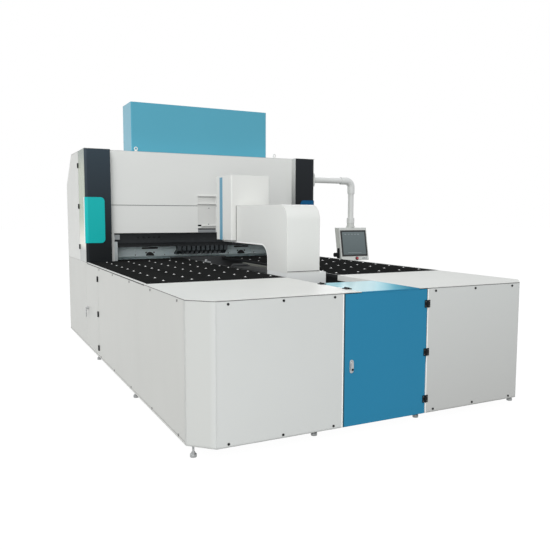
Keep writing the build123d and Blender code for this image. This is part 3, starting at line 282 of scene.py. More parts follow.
def moulded(name, colour, roughness=0.4, grain=0.15, coat=0.0, shine=0.5):
    """Moulded plastic with a fine spark-eroded grain."""
    plastic = Finish(name)
    rounded = plastic.soft_edge(0.0015)
    cloud = plastic.noise(9.0, 2.0)
    texture = plastic.noise(700.0, 2.0)
    return plastic.surface({
        "Base Color": plastic.mix(cloud, shade(colour, 0.9), shade(colour, 1.1)),
        "Roughness": cloud * 0.14 + (roughness - 0.07),
        "Specular IOR Level": shine,
        "Normal": plastic.bump(texture, grain, 0.0005, rounded),
        "Coat Weight": coat,
        "Coat Roughness": 0.08,
    })


def table_plate():
    """Black satin table plate with brushed-in specks, rubbed grey where sheets slide."""
    plate = Finish("table_black")
    rounded = plate.soft_edge(0.0015)
    speck = plate.noise(900.0, 2.0)
    slide = plate.noise(3.2, 5.0, (1, 0.25, 1), 0.65)
    tone = plate.mix(slide, (0.010, 0.0105, 0.0105), (0.024, 0.0245, 0.024))
    base = plate.mix((speck > 0.62) * 0.35, tone, (0.07, 0.07, 0.07))
    return plate.surface({
        "Base Color": base,
        "Roughness": slide * 0.2 + 0.6,
        "Specular IOR Level": 0.0,
        "Normal": plate.bump(speck, 0.2, 0.0005, rounded),
    })


def tinted_pane():
    """Coloured acrylic panes: teal on the left column, deep blue on the right one; a painted highlight runs
    down the teal pane's left edge.
    """
    pane = Finish("teal_pane")
    rounded = pane.soft_edge(0.003)
    tone = pane.mix(pane.rise(1.15, 1.62), (0.007, 0.445, 0.435), (0.014, 0.47, 0.465))
    haze = pane.noise(4.0, 3.0, (1, 1, 0.2))
    edge_width, edge_setback = 0.001, 0.018
    pane_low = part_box("column_windows")[0]
    # A thin painted highlight along the teal pane's left edge, set back from its front.
    left_edge_highlight = (pane.axis("X") < pane_low.x + edge_width) * (pane.axis("Y") > pane_low.y + edge_setback)
    tone = pane.mix(left_edge_highlight, tone, (0.95, 0.98, 0.97))
    return pane.surface({
        "Base Color": pane.mix(pane.axis("X") > middle_x, tone, (0.004, 0.088, 0.220)),
        "Roughness": haze * 0.08 + 0.16,
        "Specular IOR Level": 0.12,
        "Normal": rounded,
    })


def lid_painted_sheen():
    """Glossy blue lid: a broad painted reflection, pale across its middle, is painted into its colour and
    dies away to deep blue towards the front right corner.
    """
    lid = Finish("lid_gloss")
    rounded = lid.soft_edge(0.0015)
    slant = 0.76
    across = (lid.axis("X") - middle_x) - (lid.axis("Y") - front_y) * slant
    drift = lid.span(across, -0.40, 0.20)
    # The colour ramp is a painted reflection: pale where the sheen crosses, deep blue towards the front
    # right.
    tone = lid.node("ShaderNodeValToRGB", {"stops": (
        (0.03, (0.26, 0.52, 0.58, 1)),
        (0.20, (0.62, 0.92, 0.97, 1)),
        (0.52, (0.40, 0.78, 0.88, 1)),
        (0.78, (0.15, 0.42, 0.54, 1)),
        (1.00, (0.05, 0.24, 0.36, 1)),
    )}, {0: drift})
    start = lid.span(across, -0.44, -0.32, 0.15)
    end = lid.span(across, 0.05, -0.12)
    return lid.surface({
        "Base Color": tone,
        "Roughness": lid.noise(smear_scale, 4.0) * 0.1 + 0.28,
        "Specular IOR Level": 0.0,
        "Normal": lid.peel(0.03, rounded),
        "Coat Weight": start * end,
        "Coat Roughness": 0.2,
    })


def trim_paint():
    """Slate paint of the column trims, painted paler towards the roof as painted light, and the right trim
    painted darker than the left as painted shade.
    """
    paint = Finish("slate_trim")
    rounded = paint.soft_edge(0.006)
    rise = paint.rise(1.1, 2.1)
    left = paint.mix(rise, (0.008, 0.010, 0.0115), (0.036, 0.054, 0.070))
    right = paint.mix(rise, (0.005, 0.0062, 0.0076), (0.017, 0.020, 0.0235))
    # Painted shade: the right trim takes the darker copy of the slate.
    tone = paint.mix(paint.axis("X") > middle_x, left, right)
    rubbed = paint.edge_mask(rounded) * paint.noise(rub_scale, 3.0) * 0.4
    return paint.surface({
        "Base Color": paint.mix(rubbed, tone, (0.09, 0.10, 0.11)),
        "Roughness": paint.noise(smear_scale, 4.0) * 0.12 + 0.36,
        "Specular IOR Level": 0.16,
        "Normal": paint.peel(0.08, rounded),
    })


def strip_painted_reflection():
    """Satin strips beside the trims: a painted reflection changes their tone slowly from the table to the
    roof, with a painted highlight band low down.
    """
    strip = Finish("strip_satin")
    rounded = strip.soft_edge(0.006)
    rise = strip.rise(table_height, head_height)
    # Painted reflection: the ramp's pale stop low down is a painted highlight.
    tone = strip.node("ShaderNodeValToRGB", {"stops": (
        (0.10, (0.39, 0.41, 0.39, 1)),
        (0.16, (0.82, 0.81, 0.70, 1)),
        (0.40, (0.46, 0.52, 0.39, 1)),
        (0.84, (0.46, 0.50, 0.40, 1)),
        (0.96, (0.30, 0.34, 0.30, 1)),
    )}, {0: rise})
    return strip.surface({
        "Base Color": tone,
        "Roughness": strip.noise(smear_scale, 4.0, (1, 1, 0.2)) * 0.12 + 0.2,
        "Normal": strip.peel(0.06, rounded),
    })


def ball_finish():
    """Ball transfers: blackened flanges on the table and bright balls above them."""
    balls = Finish("ball_chrome")
    flange_rise = 0.0021
    bright = balls.axis("Z") > table_height + flange_rise
    spots = balls.noise(90.0, 3.0)
    flange = balls.mix(spots, (0.012, 0.012, 0.012), (0.03, 0.03, 0.03))
    return balls.surface({
        "Base Color": balls.mix(bright, flange, (0.97, 0.97, 0.96)),
        "Roughness": spots * 0.1 + 0.3,
        "Specular IOR Level": 0.4,
    })


def edge_bar_finish():
    """Table edge bars: white outer rims, black bars along the slot, the right one rubbed grey on top."""
    bars = Finish("edge_bars")
    rounded = bars.soft_edge(0.0015)
    marks = bars.noise(14.0, 4.0, (30, 1, 30), 0.6)
    rub_rise, rim_share = 0.0012, 0.9
    worn_top = (bars.axis("X") > middle_x) * (bars.axis("Z") > table_height + rub_rise)
    tone = bars.mix(worn_top, (0.016, 0.017, 0.018), (0.30, 0.31, 0.31))
    return bars.surface({
        "Base Color": bars.mix(bars.beyond(half_width * rim_share), tone, (0.68, 0.69, 0.67)),
        "Roughness": marks * 0.2 + 0.36,
        "Specular IOR Level": 0.3,
        "Normal": bars.bump(marks, 0.1, 0.0005, rounded),
    })


def screw_finish():
    """Panel screws: blackened on the front, dull zinc along the sides."""
    screws = Finish("panel_screw")
    rounded = screws.soft_edge(0.001)
    side_inset = 0.0005
    side = screws.beyond(half_width - side_inset)
    spots = screws.noise(160.0, 3.0)
    tone = screws.mix(spots, (0.005, 0.005, 0.006), (0.012, 0.012, 0.013))
    return screws.surface({
        "Base Color": screws.mix(side, tone, (0.24, 0.24, 0.235)),
        "Metallic": side * 0.3,
        "Specular IOR Level": 0.25,
        "Roughness": spots * 0.2 + 0.3,
        "Normal": rounded,
    })


def display_glow():
    """The display's pane: grey-blue, a little paler towards its top, as smooth as glass."""
    glass = Finish("display_glass")
    low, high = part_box("panel_screen")
    tone = glass.mix(glass.rise(low.z, high.z), (0.135, 0.168, 0.174), (0.155, 0.190, 0.196))
    smear = glass.noise(8.0, 4.0)
    return glass.surface({
        "Base Color": tone,
        "Roughness": smear * 0.1 + 0.16,
        "Specular IOR Level": 0.25,
    })


def dress(finish, *names):
    """Give a finish to the CAD pieces that have it."""
    for name in names:
        mesh = nodes[name].data
        mesh.materials.clear()
        mesh.materials.append(finish)
    return finish


# One white paint covers the machine; its tone is set part by part as painted light and shade: darker on the
# side panels, paler on the columns, covers, hood and arm than on the front.
sheet_white = (0.62, 0.635, 0.62)
hood_white = (0.80, 0.81, 0.785)
arm_white = (0.75, 0.757, 0.73)
white_coat = dress(
    powder_coat("white_coat", sheet_white, edge=0.016, shine=0.3),
    "roof_cover", "rear_panel",
)
dress(powder_coat("front_coat", sheet_white, edge=0.016, shine=0.3, change=front_fall), "front_panels")
# Painted shade: the side panels get a darker copy of the white.
dress(
    powder_coat("side_coat", (0.58, 0.585, 0.557), shine=0.3),
    "side_panel_left", "rear_side_panel_left", "side_panel_right", "side_door",
)
# Painted light: the column pieces get a paler copy of the white.
dress(powder_coat("column_coat", (0.67, 0.675, 0.65), shine=0.3), "right_column_cover", "column_door")
recess_coat = dress(powder_coat("recess_coat", (0.72, 0.725, 0.70), shine=0.3), "centre_panel")
# Painted light: paler copies of the white on the front covers and the hood.
dress(powder_coat("cover_coat", (0.745, 0.75, 0.72), shine=0.3), "front_covers")
dress(powder_coat("hood_coat", hood_white, shine=0.3, change=shaded_returns), "hood", "hood_band")
# A pale white for the painted highlights on the bends beside the door.
highlight_white = powder_coat("highlight_white", (0.97, 0.975, 0.95), shine=0.3)
fitting_coat = powder_coat("fitting_coat", hood_white, shine=0.3)
# Painted light: the arm and head get a paler copy of the white.
dress(powder_coat("arm_coat", arm_white, roughness=0.36, edge=0.006, change=arch_rim), "manipulator_arm")
dress(powder_coat("head_coat", arm_white, roughness=0.36, edge=0.006), "clamp_head")
dress(powder_coat("carriage_coat", (0.77, 0.785, 0.775)), "carriage")
blue_coat = dress(
    powder_coat("blue_coat", (0.022, 0.208, 0.362), roughness=0.4, shine=0.16, change=door_edge),
    "front_door",
)
dress(lid_painted_sheen(), "slot_lid")
dress(powder_coat("stripe_blue", (0.12, 0.33, 0.47), roughness=0.35), "head_stripes")
dress(powder_coat("sky_coat", (0.075, 0.385, 0.52), roughness=0.34, coat=0.8, shine=0.3), "drive_cover")
dress(trim_paint(), "column_trims")
dress(strip_painted_reflection(), "column_strips")
dress(
    powder_coat("frame_primer", (0.05, 0.053, 0.055), roughness=0.55),
    "table_frame", "feed_bed", "side_frames", "upper_beam", "ram", "lower_beam",
)
rail_primer = powder_coat("rail_primer", (0.27, 0.285, 0.295), roughness=0.55)
dress(machined("tool_steel", (0.075, 0.079, 0.082), roughness=0.36, metal=0.4), "lower_tool")
rail_paint = powder_coat("rail_paint", (0.26, 0.265, 0.235), roughness=0.45)
dress(powder_coat("motor_paint", (0.03, 0.03, 0.033), roughness=0.5), "feed_motor", "ram_drives")
dress(powder_coat("panel_coat", (0.65, 0.665, 0.64), roughness=0.40), "panel_case")
gib_grey = powder_coat("gib_grey", (0.50, 0.545, 0.55), roughness=0.45)
dress(powder_coat("tube_coat", (0.74, 0.75, 0.735), roughness=0.34), "panel_bracket", "panel_arm")
# Painted light: the carrier and slide are given a very pale grey-blue so that they read bright in the shade
# of the throat.
dress(
    machined("beam_casting", (0.80, 0.97, 1.0), roughness=0.46, stretch=(1, 30, 30), metal=0.0, edge=0.003),
    "blade_slide", "blade_carrier",
)
steel_ground = dress(machined("steel_ground", (0.46, 0.47, 0.475), roughness=0.34), "press_rod")
foot_zinc = dress(
    machined("foot_zinc", (0.36, 0.37, 0.37), roughness=0.42, stretch=(20, 20, 20), metal=0.3),
    "levelling_feet",
)
dress(
    machined("rail_steel", (0.50, 0.51, 0.52), roughness=0.24, stretch=(40, 1, 40)),
    "guide_rails", "ball_screw",
)
dress(
    machined("bright_plate", (0.44, 0.45, 0.455), roughness=0.34, stretch=(30, 30, 1), metal=0.7),
    "lock_plate", "lock_lever",
)
dress(blackened("tool_black", (0.020, 0.023, 0.026)), "tool_bar", "upper_disc", "lower_disc")
dress(blackened("finger_black", (0.046, 0.055, 0.060), roughness=0.38), "finger_tools")
dress(blackened("slot_black", (0.014, 0.015, 0.016), roughness=0.5, metal=0.1), "lower_arm")
hinge_black = dress(
    moulded("hinge_black", (0.010, 0.011, 0.012), roughness=0.42, shine=0.1),
    "fixed_hinge_leaves", "door_hinge_leaves", "lid_hinge_leaves", "side_hinge_leaves",
    "column_hinge_leaves",
)
dress(moulded("handle_grey", (0.42, 0.43, 0.425), roughness=0.38), "side_door_handle")
dress(moulded("screen_black", (0.016, 0.017, 0.018), roughness=0.3, grain=0.08), "panel_screen")
fold_grey = moulded("fold_grey", (0.32, 0.32, 0.31), roughness=0.5)
seam_grey = moulded("seam_grey", (0.10, 0.10, 0.10), roughness=0.6)
seal_black = moulded("seal_black", (0.030, 0.031, 0.031), roughness=0.6)
dress(moulded("stop_red", (0.42, 0.017, 0.028), roughness=0.28, grain=0.05, coat=0.5), "emergency_stop")
key_grey = moulded("key_grey", (0.30, 0.32, 0.33))
tile_pale = moulded("tile_pale", (0.25, 0.285, 0.295), roughness=0.3, grain=0.05)
dress(table_plate(), "table_tops")
dress(tinted_pane(), "column_windows")
ball_chrome = dress(ball_finish(), "ball_transfers")
dress(edge_bar_finish(), "table_edge_bars")
dress(screw_finish(), "panel_screws")
display_glass = display_glow()


def clear_hand():
    """Leave nothing selected, so that the next tool meets only its own piece."""
    bpy.ops.object.select_all(action="DESELECT")


def take(piece):
    """Have one piece in hand, and nothing else."""
    clear_hand()
    piece.select_set(True)
    bpy.context.view_layer.objects.active = piece


def spot(x, y, z):
    """A place from the machine's middle plane, front face and floor."""
    return Vector((middle_x + x, front_y + y, z))


def settle(name):
    """Name the new shape and put its place into its mesh."""
    piece = bpy.context.object
    piece.name = name
    bpy.ops.object.transform_apply(location=True, rotation=True, scale=True)
    return piece


def start_block(name, low, high):
    """A block between two corners, to be shaped further."""
    clear_hand()
    bpy.ops.mesh.primitive_cube_add(size=1, location=(low + high) / 2, scale=high - low)
    return settle(name)


def start_round(name, centre, radius, depth, turn=(0, 0, 0), sides=24):
    """A round blank whose axis is turned from upright."""
    clear_hand()
    bpy.ops.mesh.primitive_cylinder_add(
        vertices=sides, radius=radius, depth=depth, location=centre, rotation=turn
    )
    return settle(name)


def pick_faces(piece, test):
    """Enter edit mode with only the faces selected whose normal passes the test."""
    bpy.ops.object.mode_set(mode="EDIT")
    bpy.ops.mesh.select_mode(type="FACE")
    bpy.ops.mesh.select_all(action="DESELECT")
    bpy.ops.object.mode_set(mode="OBJECT")
    for face in piece.data.polygons:
        face.select = test(face.normal)
    bpy.ops.object.mode_set(mode="EDIT")


def pick_side(piece, normal):
    """Enter edit mode with only the faces selected that look one way."""
    pick_faces(piece, lambda way: way.dot(normal) > 0.9)


def pick_all(kind):
    """Enter edit mode with everything selected."""
    bpy.ops.object.mode_set(mode="EDIT")
    bpy.ops.mesh.select_mode(type=kind)
    bpy.ops.mesh.select_all(action="SELECT")


def pull(shift):
    """Extrude what is selected."""
    bpy.ops.mesh.extrude_region_move(TRANSFORM_OT_translate={"value": tuple(shift)})


def draw_in(border, shift):
    """Inset what is selected and move it, so that its border slopes."""
    bpy.ops.mesh.inset(thickness=border)
    bpy.ops.transform.translate(value=tuple(shift))


def leave():
    bpy.ops.object.mode_set(mode="OBJECT")


def step_face(piece, normal, *steps):
    """Work the face that looks one way: inset it, then raise or sink it, once for each step."""
    pick_side(piece, normal)
    for border, rise in steps:
        bpy.ops.mesh.inset(thickness=border)
        pull(normal * rise)
    leave()


def dish(piece, normal, border, depth):
    """Sink the face that looks one way, with a sloping border."""
    pick_side(piece, normal)
    bpy.ops.mesh.inset(thickness=border, depth=-depth)
    leave()


def round_edges(piece, width, segments=2):
    bevel = piece.modifiers.new("round_edges", "BEVEL")
    bevel.width = width
    bevel.segments = segments
    bevel.limit_method = "ANGLE"
    bpy.context.view_layer.objects.active = piece
    bpy.ops.object.modifier_apply(modifier=bevel.name)


def repeat(piece, shifts):
    """Copy a shape, each copy with its own mesh, and join the copies to it."""
    copies = [piece]
    for shift in shifts:
        take(piece)
        bpy.ops.object.duplicate()
        bpy.ops.transform.translate(value=tuple(shift))
        bpy.ops.object.transform_apply(location=True)
        copies.append(bpy.context.object)
    return join(piece, copies)


def repeat_at(piece, places):
    """Copy a shape from the first of its places to all the others."""
    return repeat(piece, [place - places[0] for place in places[1:]])


def join(piece, others):
    take(piece)
    for other in others:
        other.select_set(True)
    bpy.ops.object.join()
    return piece


def ribbon(name, points, height, thick):
    """A strip of sheet on edge: one upright edge drawn from point to point, then thickened."""
    clear_hand()
    bpy.ops.mesh.primitive_plane_add(size=1, location=(0, 0, 0))
    piece = settle(name)
    pick_all("VERT")
    bpy.ops.mesh.merge(type="CENTER")
    bpy.ops.transform.translate(value=tuple(points[0]))
    pull((0, 0, height))
    bpy.ops.mesh.select_all(action="SELECT")
    for here, there in zip(points, points[1:]):
        pull(there - here)
    leave()
    wall = piece.modifiers.new("wall", "SOLIDIFY")
    wall.thickness = thick
    wall.offset = 0
    wall.use_even_offset = True
    bpy.ops.object.modifier_apply(modifier=wall.name)
    pick_all("FACE")
    bpy.ops.mesh.normals_make_consistent(inside=False)
    leave()
    return piece


def fit(piece, body, finish, smooth_angle=40):
    """Give a piece its finish and hang it on the body that carries it."""
    take(piece)
    bpy.ops.object.shade_smooth_by_angle(angle=math.radians(smooth_angle))
    piece.data.materials.clear()
    piece.data.materials.append(finish)
    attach(piece, body)
    return piece


def fit_block(name, low, high, edge, body, finish, sunk=None):
    """A trim block with rounded edges; sunk gives a face to dish, with its border and depth."""
    block = start_block(name, low, high)
    if sunk:
        dish(block, *sunk)
    round_edges(block, edge)
    return fit(block, body, finish)


# Ways that a flat detail can face: its normal, and the turn that brings an upright axis there
facings = {
    "front": (Vector((0, -1, 0)), (math.pi / 2, 0, 0)),
    "left": (Vector((-1, 0, 0)), (0, -math.pi / 2, 0)),
    "right": (Vector((1, 0, 0)), (0, math.pi / 2, 0)),
    "rear": (Vector((0, 1, 0)), (-math.pi / 2, 0, 0)),
    "up": (Vector((0, 0, 1)), (0, 0, 0)),
}
front, to_front = facings["front"]
left, to_left = facings["left"]
up = facings["up"][0]
both_sides = ((-1, "left"), (1, "right"))


def socket_screws(name, places, facing, radius, rise, body, finish):
    """A row of low screws with a hexagon socket: one is shaped and the rest are copies."""
    rim_share, socket_share = 0.2, 0.32
    crown_share, socket_depth_share = 0.25, 0.7
    normal, turn = facings[facing]
    screw = start_round(name, places[0] + normal * rise / 2, radius, rise, turn, 18)
    pick_side(screw, normal)
    draw_in(radius * rim_share, normal * rise * crown_share)
    bpy.ops.mesh.inset(thickness=radius * socket_share)
    pull(normal * -rise * socket_depth_share)
    leave()
    repeat_at(screw, places)
    return fit(screw, body, finish)


def fit_hinge_screws():
    """Two screws in each leaf of every hinge."""
    leaf_rise, reach, spread = 0.004, 0.015, 0.0155
    screw_radius, screw_rise = 0.0036, 0.0016
    half_pin, half_gap = 0.006, 0.002
    left_x = -half_width - leaf_rise
    door_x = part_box("door_hinge_leaves")[1].x - middle_x - half_pin
    side_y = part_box("side_door")[0].y - front_y - half_gap
    column_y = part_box("column_strips")[1].y - front_y + half_gap
    lid_low, lid_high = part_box("slot_lid")
    lid_length = lid_high.y - lid_low.y
    door_heights = (0.840, 0.506, 0.177)
    side_heights = (0.831, 0.495, 0.168)
    column_heights = (1.960, 1.529, 1.099)
    lid_places = [lid_low.y - front_y + lid_length * share for share in (0.31, 0.90)]
    hinges = (
        ("door", "front_door", "front", door_heights, lambda step, z: spot(door_x - step, -leaf_rise, z)),
        ("side", "side_door", "left", side_heights, lambda step, z: spot(left_x, side_y + step, z)),
        ("column", "column_door", "left", column_heights, lambda step, z: spot(left_x, column_y + step, z)),
        ("lid", "slot_lid", "up", lid_places,
         lambda step, y: spot(-slot_left + step, y, table_height + leaf_rise)),
    )
    for name, door, facing, middles, place in hinges:
        for side, body, step in (("leaf", door, reach), ("jamb", "machine", -reach)):
            places = [place(step, middle + end) for middle in middles for end in (-spread, spread)]
            row = f"{name}_{side}_screws"
            socket_screws(row, places, facing, screw_radius, screw_rise, body, seam_grey)


def fit_seams():
    """A dark line under the front covers, partly a seam and partly painted shadow, dark seals under the
    table's side edges, and the skirts' lower fold lines.
    """
    corner, door_half = 0.138, 0.337
    proud, thick = 0.0004, 0.0012
    seam_shadow_height = 0.0034
    seam_shadow_z = table_height - seam_shadow_height * 2
    slit_height = 0.0075
    slit_z = table_height - 0.011
    slit_ends = (cover_depth, head_face - 0.01)
    fold_height, fold_thick, fold_z = 0.003, 0.0008, 0.0905
    fold_ends = (0.165, rear_high.y - front_y - 0.006)
    for side, name in both_sides:
        side_x = side * (half_width + proud)
        # The line under the covers is partly a seam and partly painted shadow of the covers' overhang.
        seam_shadow_line = [spot(side * door_half, -proud, seam_shadow_z), spot(side * (half_width - corner), -proud, seam_shadow_z)]
        seam_shadow_line += [spot(side_x, y, seam_shadow_z) for y in (corner, cover_depth)]
        slit = [spot(side_x, y, slit_z) for y in slit_ends]
        fold = [spot(side_x, y, fold_z) for y in fold_ends]
        rows = (
            ("cover_seam_shadow", seam_shadow_line, seam_shadow_height, thick, "hinge_black", seam_grey),
            ("table_seal", slit, slit_height, thick, "hinge_black", seal_black),
            ("skirt_fold", fold, fold_height, fold_thick, "white", fold_grey),
        )
        for kind, path, height, wall, slot, finish in rows:
            fit(ribbon(f"{kind}_{name}", path, height, wall), "machine", finish)


def fit_feet():
    """Levelling feet: a turned pad with a ball socket, a slim stud and its lock nut under the skirt."""
    post_columns = (-1.300, -0.468, 0.372, 1.300)
    post_rows = (0.140, 1.5033, 2.961)
    head_columns = (-1.160, 1.160)
    head_rows = (3.530, 4.270)
    pad_radius, pad_height = 0.0205, 0.018
    shoulders = ((0.005, 0.005), (0.004, 0.002))
    socket_rise, stud_border = 0.006, 0.0045
    nut_radius, nut_height, nut_drop = 0.0125, 0.009, 0.0055
    places = [spot(x, y, 0) for x in post_columns for y in post_rows]
    places += [spot(x, y, 0) for x in head_columns for y in head_rows]
    foot_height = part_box("levelling_feet")[1].z
    pad = start_round("turned_feet", places[0] + up * pad_height / 2, pad_radius, pad_height, sides=28)
    pick_side(pad, up)
    for border, rise in shoulders:
        draw_in(border, up * rise)
    pull(up * socket_rise)
    bpy.ops.mesh.inset(thickness=stud_border)
    pull(up * (foot_height - pad_height - socket_rise - sum(rise for border, rise in shoulders)))
    leave()
    round_edges(pad, 0.0015)
    nut = start_round("lock_nut", places[0] + up * (foot_height - nut_drop), nut_radius, nut_height, sides=6)
    round_edges(nut, 0.0008)
    join(pad, [nut])
    repeat_at(pad, places)
    fit(pad, "machine", foot_zinc)
    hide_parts("levelling_feet")


def fit_balls():
    """Ball transfers: a low flange on the table and a full ball crown in it, in rows on both tables."""
    low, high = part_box("ball_transfers")
    flange, flange_rise = 0.015, 0.001
    crown, neck_rise = 0.0072, 0.0014
    crown_steps = ((0.0006, 0.0016), (0.0015, 0.0013), (0.0019, 0.0007), (0.0019, 0.0003))
    columns, rows, pitch = 5, 10, 0.222
    first_x, last_x = low.x + flange, high.x - flange
    first_y = low.y + flange
    row_pitch = (high.y - flange - first_y) / (rows - 1)
    first = Vector((first_x, first_y, table_height + flange_rise / 2))
    ball = start_round("ball_crowns", first, flange, flange_rise, sides=18)
    pick_side(ball, up)
    bpy.ops.mesh.inset(thickness=flange - crown)
    pull(up * neck_rise)
    for border, rise in crown_steps:
        draw_in(border, up * rise)
    leave()
    repeat(ball, [Vector((0, row_pitch * row, 0)) for row in range(1, rows)])
    places = [first_x + pitch * column for column in range(1, columns)]
    places += [last_x - pitch * column for column in range(columns)]
    repeat(ball, [Vector((x - first_x, 0, 0)) for x in places])
    fit(ball, "machine", ball_chrome, 60)
    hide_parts("ball_transfers")


def fit_door_reveals():
    """Painted highlights on the bends of the front panels' edges on both sides of the door."""
    inner, outer = 0.3375, 0.3455
    proud, thick = 0.0003, 0.001
    door_low, door_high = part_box("front_door")
    height = door_high.z - door_low.z
    for side, name in both_sides:
        path = [spot(side * reach, -proud, door_low.z) for reach in (inner, outer)]
        fit(ribbon(f"door_reveal_{name}", path, height, thick), "machine", highlight_white)


def fit_lid_fold():
    """The lid's front edge, folded down over the door's top gap."""
    reach, lap = 0.0025, 0.0005
    drop, step = 0.0085, 0.0004
    lid_low, lid_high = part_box("slot_lid")
    low = Vector((lid_low.x, lid_low.y - reach, table_height - drop))
    high = Vector((lid_high.x, lid_low.y + lap, table_height - step))
    fit_block("lid_front_fold", low, high, 0.0009, "slot_lid", blue_coat)


def fit_lock_key():
    """The key barrel in the lever's pivot, with its slit."""
    radius, depth, seat = 0.0078, 0.0022, 0.0001
    pivot_drop = 0.0525
    lever_low, lever_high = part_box("lock_lever")
    centre_x = (lever_low.x + lever_high.x) / 2
    place = Vector((centre_x, lever_low.y + seat, lever_high.z - pivot_drop))
    barrel = start_round("lock_key_barrel", place, radius, depth, to_front, 28)
    step_face(barrel, front, (0.0018, -0.0004), (0.0024, -0.0004))
    fit(barrel, "lock", hinge_black)


# The operator panel's leaning face
panel_x = sum(corner.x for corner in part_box("panel_case")) / 2
panel_top = 1.286
panel_axis, panel_reach = 3.450, 0.048
panel_top_y = front_y + panel_axis - panel_reach
lean_run, lean_rise = 0.078, 0.415
lean = math.atan2(lean_run, lean_rise)
lean_sin = math.sin(lean)
lean_cos = math.cos(lean)
face_turn = (math.pi / 2 - lean, 0, 0)
face_normal = Vector((0, -lean_cos, lean_sin))


def face_of_panel(across, down, lift):
    """A place on the operator panel's leaning face, from the middle of its top edge."""
    return Vector((panel_x + across, panel_top_y - down * lean_sin - lift * lean_cos,
                   panel_top - down * lean_cos + lift * lean_sin))


def panel_tile(name, across, down, width, height, thick, lift):
    """A flat tile that lies on the panel's leaning face."""
    clear_hand()
    bpy.ops.mesh.primitive_cube_add(
        size=1,
        location=face_of_panel(across, down, lift + thick / 2),
        rotation=face_turn,
        scale=(width, height, thick),
    )
    return settle(name)


def fit_display():
    """The display behind the bezel, with plain blocks of a control page."""
    glass_thick, glass_lift = 0.0012, 0.0040
    mark_thick, mark_edge, mark_pitch = 0.0005, 0.0002, 0.048
    mark_lift = glass_lift + glass_thick
    pane = panel_tile("screen_display", 0, 0.200, 0.343, 0.292, glass_thick, glass_lift)
    round_edges(pane, 0.0004)
    fit(pane, "panel", display_glass)
    mark = panel_tile("display_marks", -0.120, 0.086, 0.026, 0.012, mark_thick, mark_lift)
    round_edges(mark, mark_edge)
    repeat(mark, [Vector((mark_pitch * step, 0, 0)) for step in range(1, 5)])
    fit(mark, "panel", tile_pale)
    line = panel_tile("display_line", 0, 0.322, 0.200, 0.006, mark_thick, mark_lift)
    round_edges(line, mark_edge)
    fit(line, "panel", tile_pale)


def fit_panel_keys():
    """Small keys right of the emergency stop and the stop's collar."""
    down = 0.395
    key_x, key_size, key_rise, key_pitch = 0.118, 0.016, 0.004, 0.024
    stop_x, collar_radius, collar_rise = 0.026, 0.0235, 0.003
    key = panel_tile("panel_keys", key_x, down, key_size, key_size, key_rise, 0.0)
    dish(key, face_normal, 0.002, 0.0008)
    round_edges(key, 0.0006)
    repeat(key, [Vector((key_pitch * step, 0, 0)) for step in (1, 2)])
    fit(key, "panel", key_grey)
    place = face_of_panel(stop_x, down, collar_rise / 2)
    collar = start_round("stop_collar", place, collar_radius, collar_rise, face_turn, 32)
    step_face(collar, face_normal, (0.004, 0.0012), (0.004, -0.0018))
    fit(collar, "panel", seal_black)


def fit_panel_clamp():
    """The black clamp on the panel's left side: a tapered lug and a fluted knob on a short neck."""
    side_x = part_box("panel_case")[0].x
    bottom, top, knob_z = 0.897, 1.030, 0.946
    middle_y = front_y + 3.385
    lug_half, lug_reach, lug_seat, taper = 0.021, 0.024, 0.001, 0.45
    neck_reach, neck_radius, neck_length = 0.034, 0.012, 0.026
    knob_reach, knob_radius, knob_length = 0.054, 0.027, 0.034
    knob_sides, flute_pitch, flute_every = 30, 12, 3
    flute_border, flute_depth = 0.0006, 0.0035
    low = Vector((side_x - lug_reach, middle_y - lug_half, bottom))
    high = Vector((side_x + lug_seat, middle_y + lug_half, top))
    lug = start_block("panel_clamp", low, high)
    pick_side(lug, up)
    bpy.ops.transform.resize(value=(1, taper, 1), center_override=(side_x, middle_y, top))
    leave()
    round_edges(lug, 0.005, 3)
    neck_place = Vector((side_x - neck_reach, middle_y, knob_z))
    neck = start_round("clamp_neck", neck_place, neck_radius, neck_length, to_left, 20)
    round_edges(neck, 0.002)
    knob_place = Vector((side_x - knob_reach, middle_y, knob_z))
    knob = start_round("clamp_knob", knob_place, knob_radius, knob_length, to_left, knob_sides)

    def is_flute(way):
        turn = math.degrees(math.atan2(way.y, way.z))
        return abs(way.x) < 0.1 and round(turn / flute_pitch) % flute_every == 0

    pick_faces(knob, is_flute)
    bpy.ops.mesh.inset(thickness=flute_border, depth=-flute_depth, use_individual=True)
    leave()
    step_face(knob, left, (0.006, 0.003))
    fit(join(lug, [neck, knob]), "panel", hinge_black)


def fit_lifting_eyes():
    """Painted lifting eyes on the roof, in front of the drive cover and behind it."""
    columns = (-0.787, 0.862)
    rows = (head_face + 0.118, head_face + 0.68)
    collar_radius, collar_rise, ring_rise = 0.017, 0.008, 0.029
    places = [spot(x, y, head_height) for x in columns for y in rows]
    collar = start_round("lifting_eyes", places[0] + up * collar_rise / 2, collar_radius, collar_rise)
    step_face(collar, up, (0.006, 0.006))
    clear_hand()
    bpy.ops.mesh.primitive_torus_add(
        location=places[0] + up * ring_rise,
        rotation=to_front,
        major_radius=0.0155,
        minor_radius=0.0052,
        major_segments=28,
        minor_segments=12,
    )
    ring = settle("lifting_ring")
    join(collar, [ring])
    repeat_at(collar, places)
    fit(collar, "machine", fitting_coat)


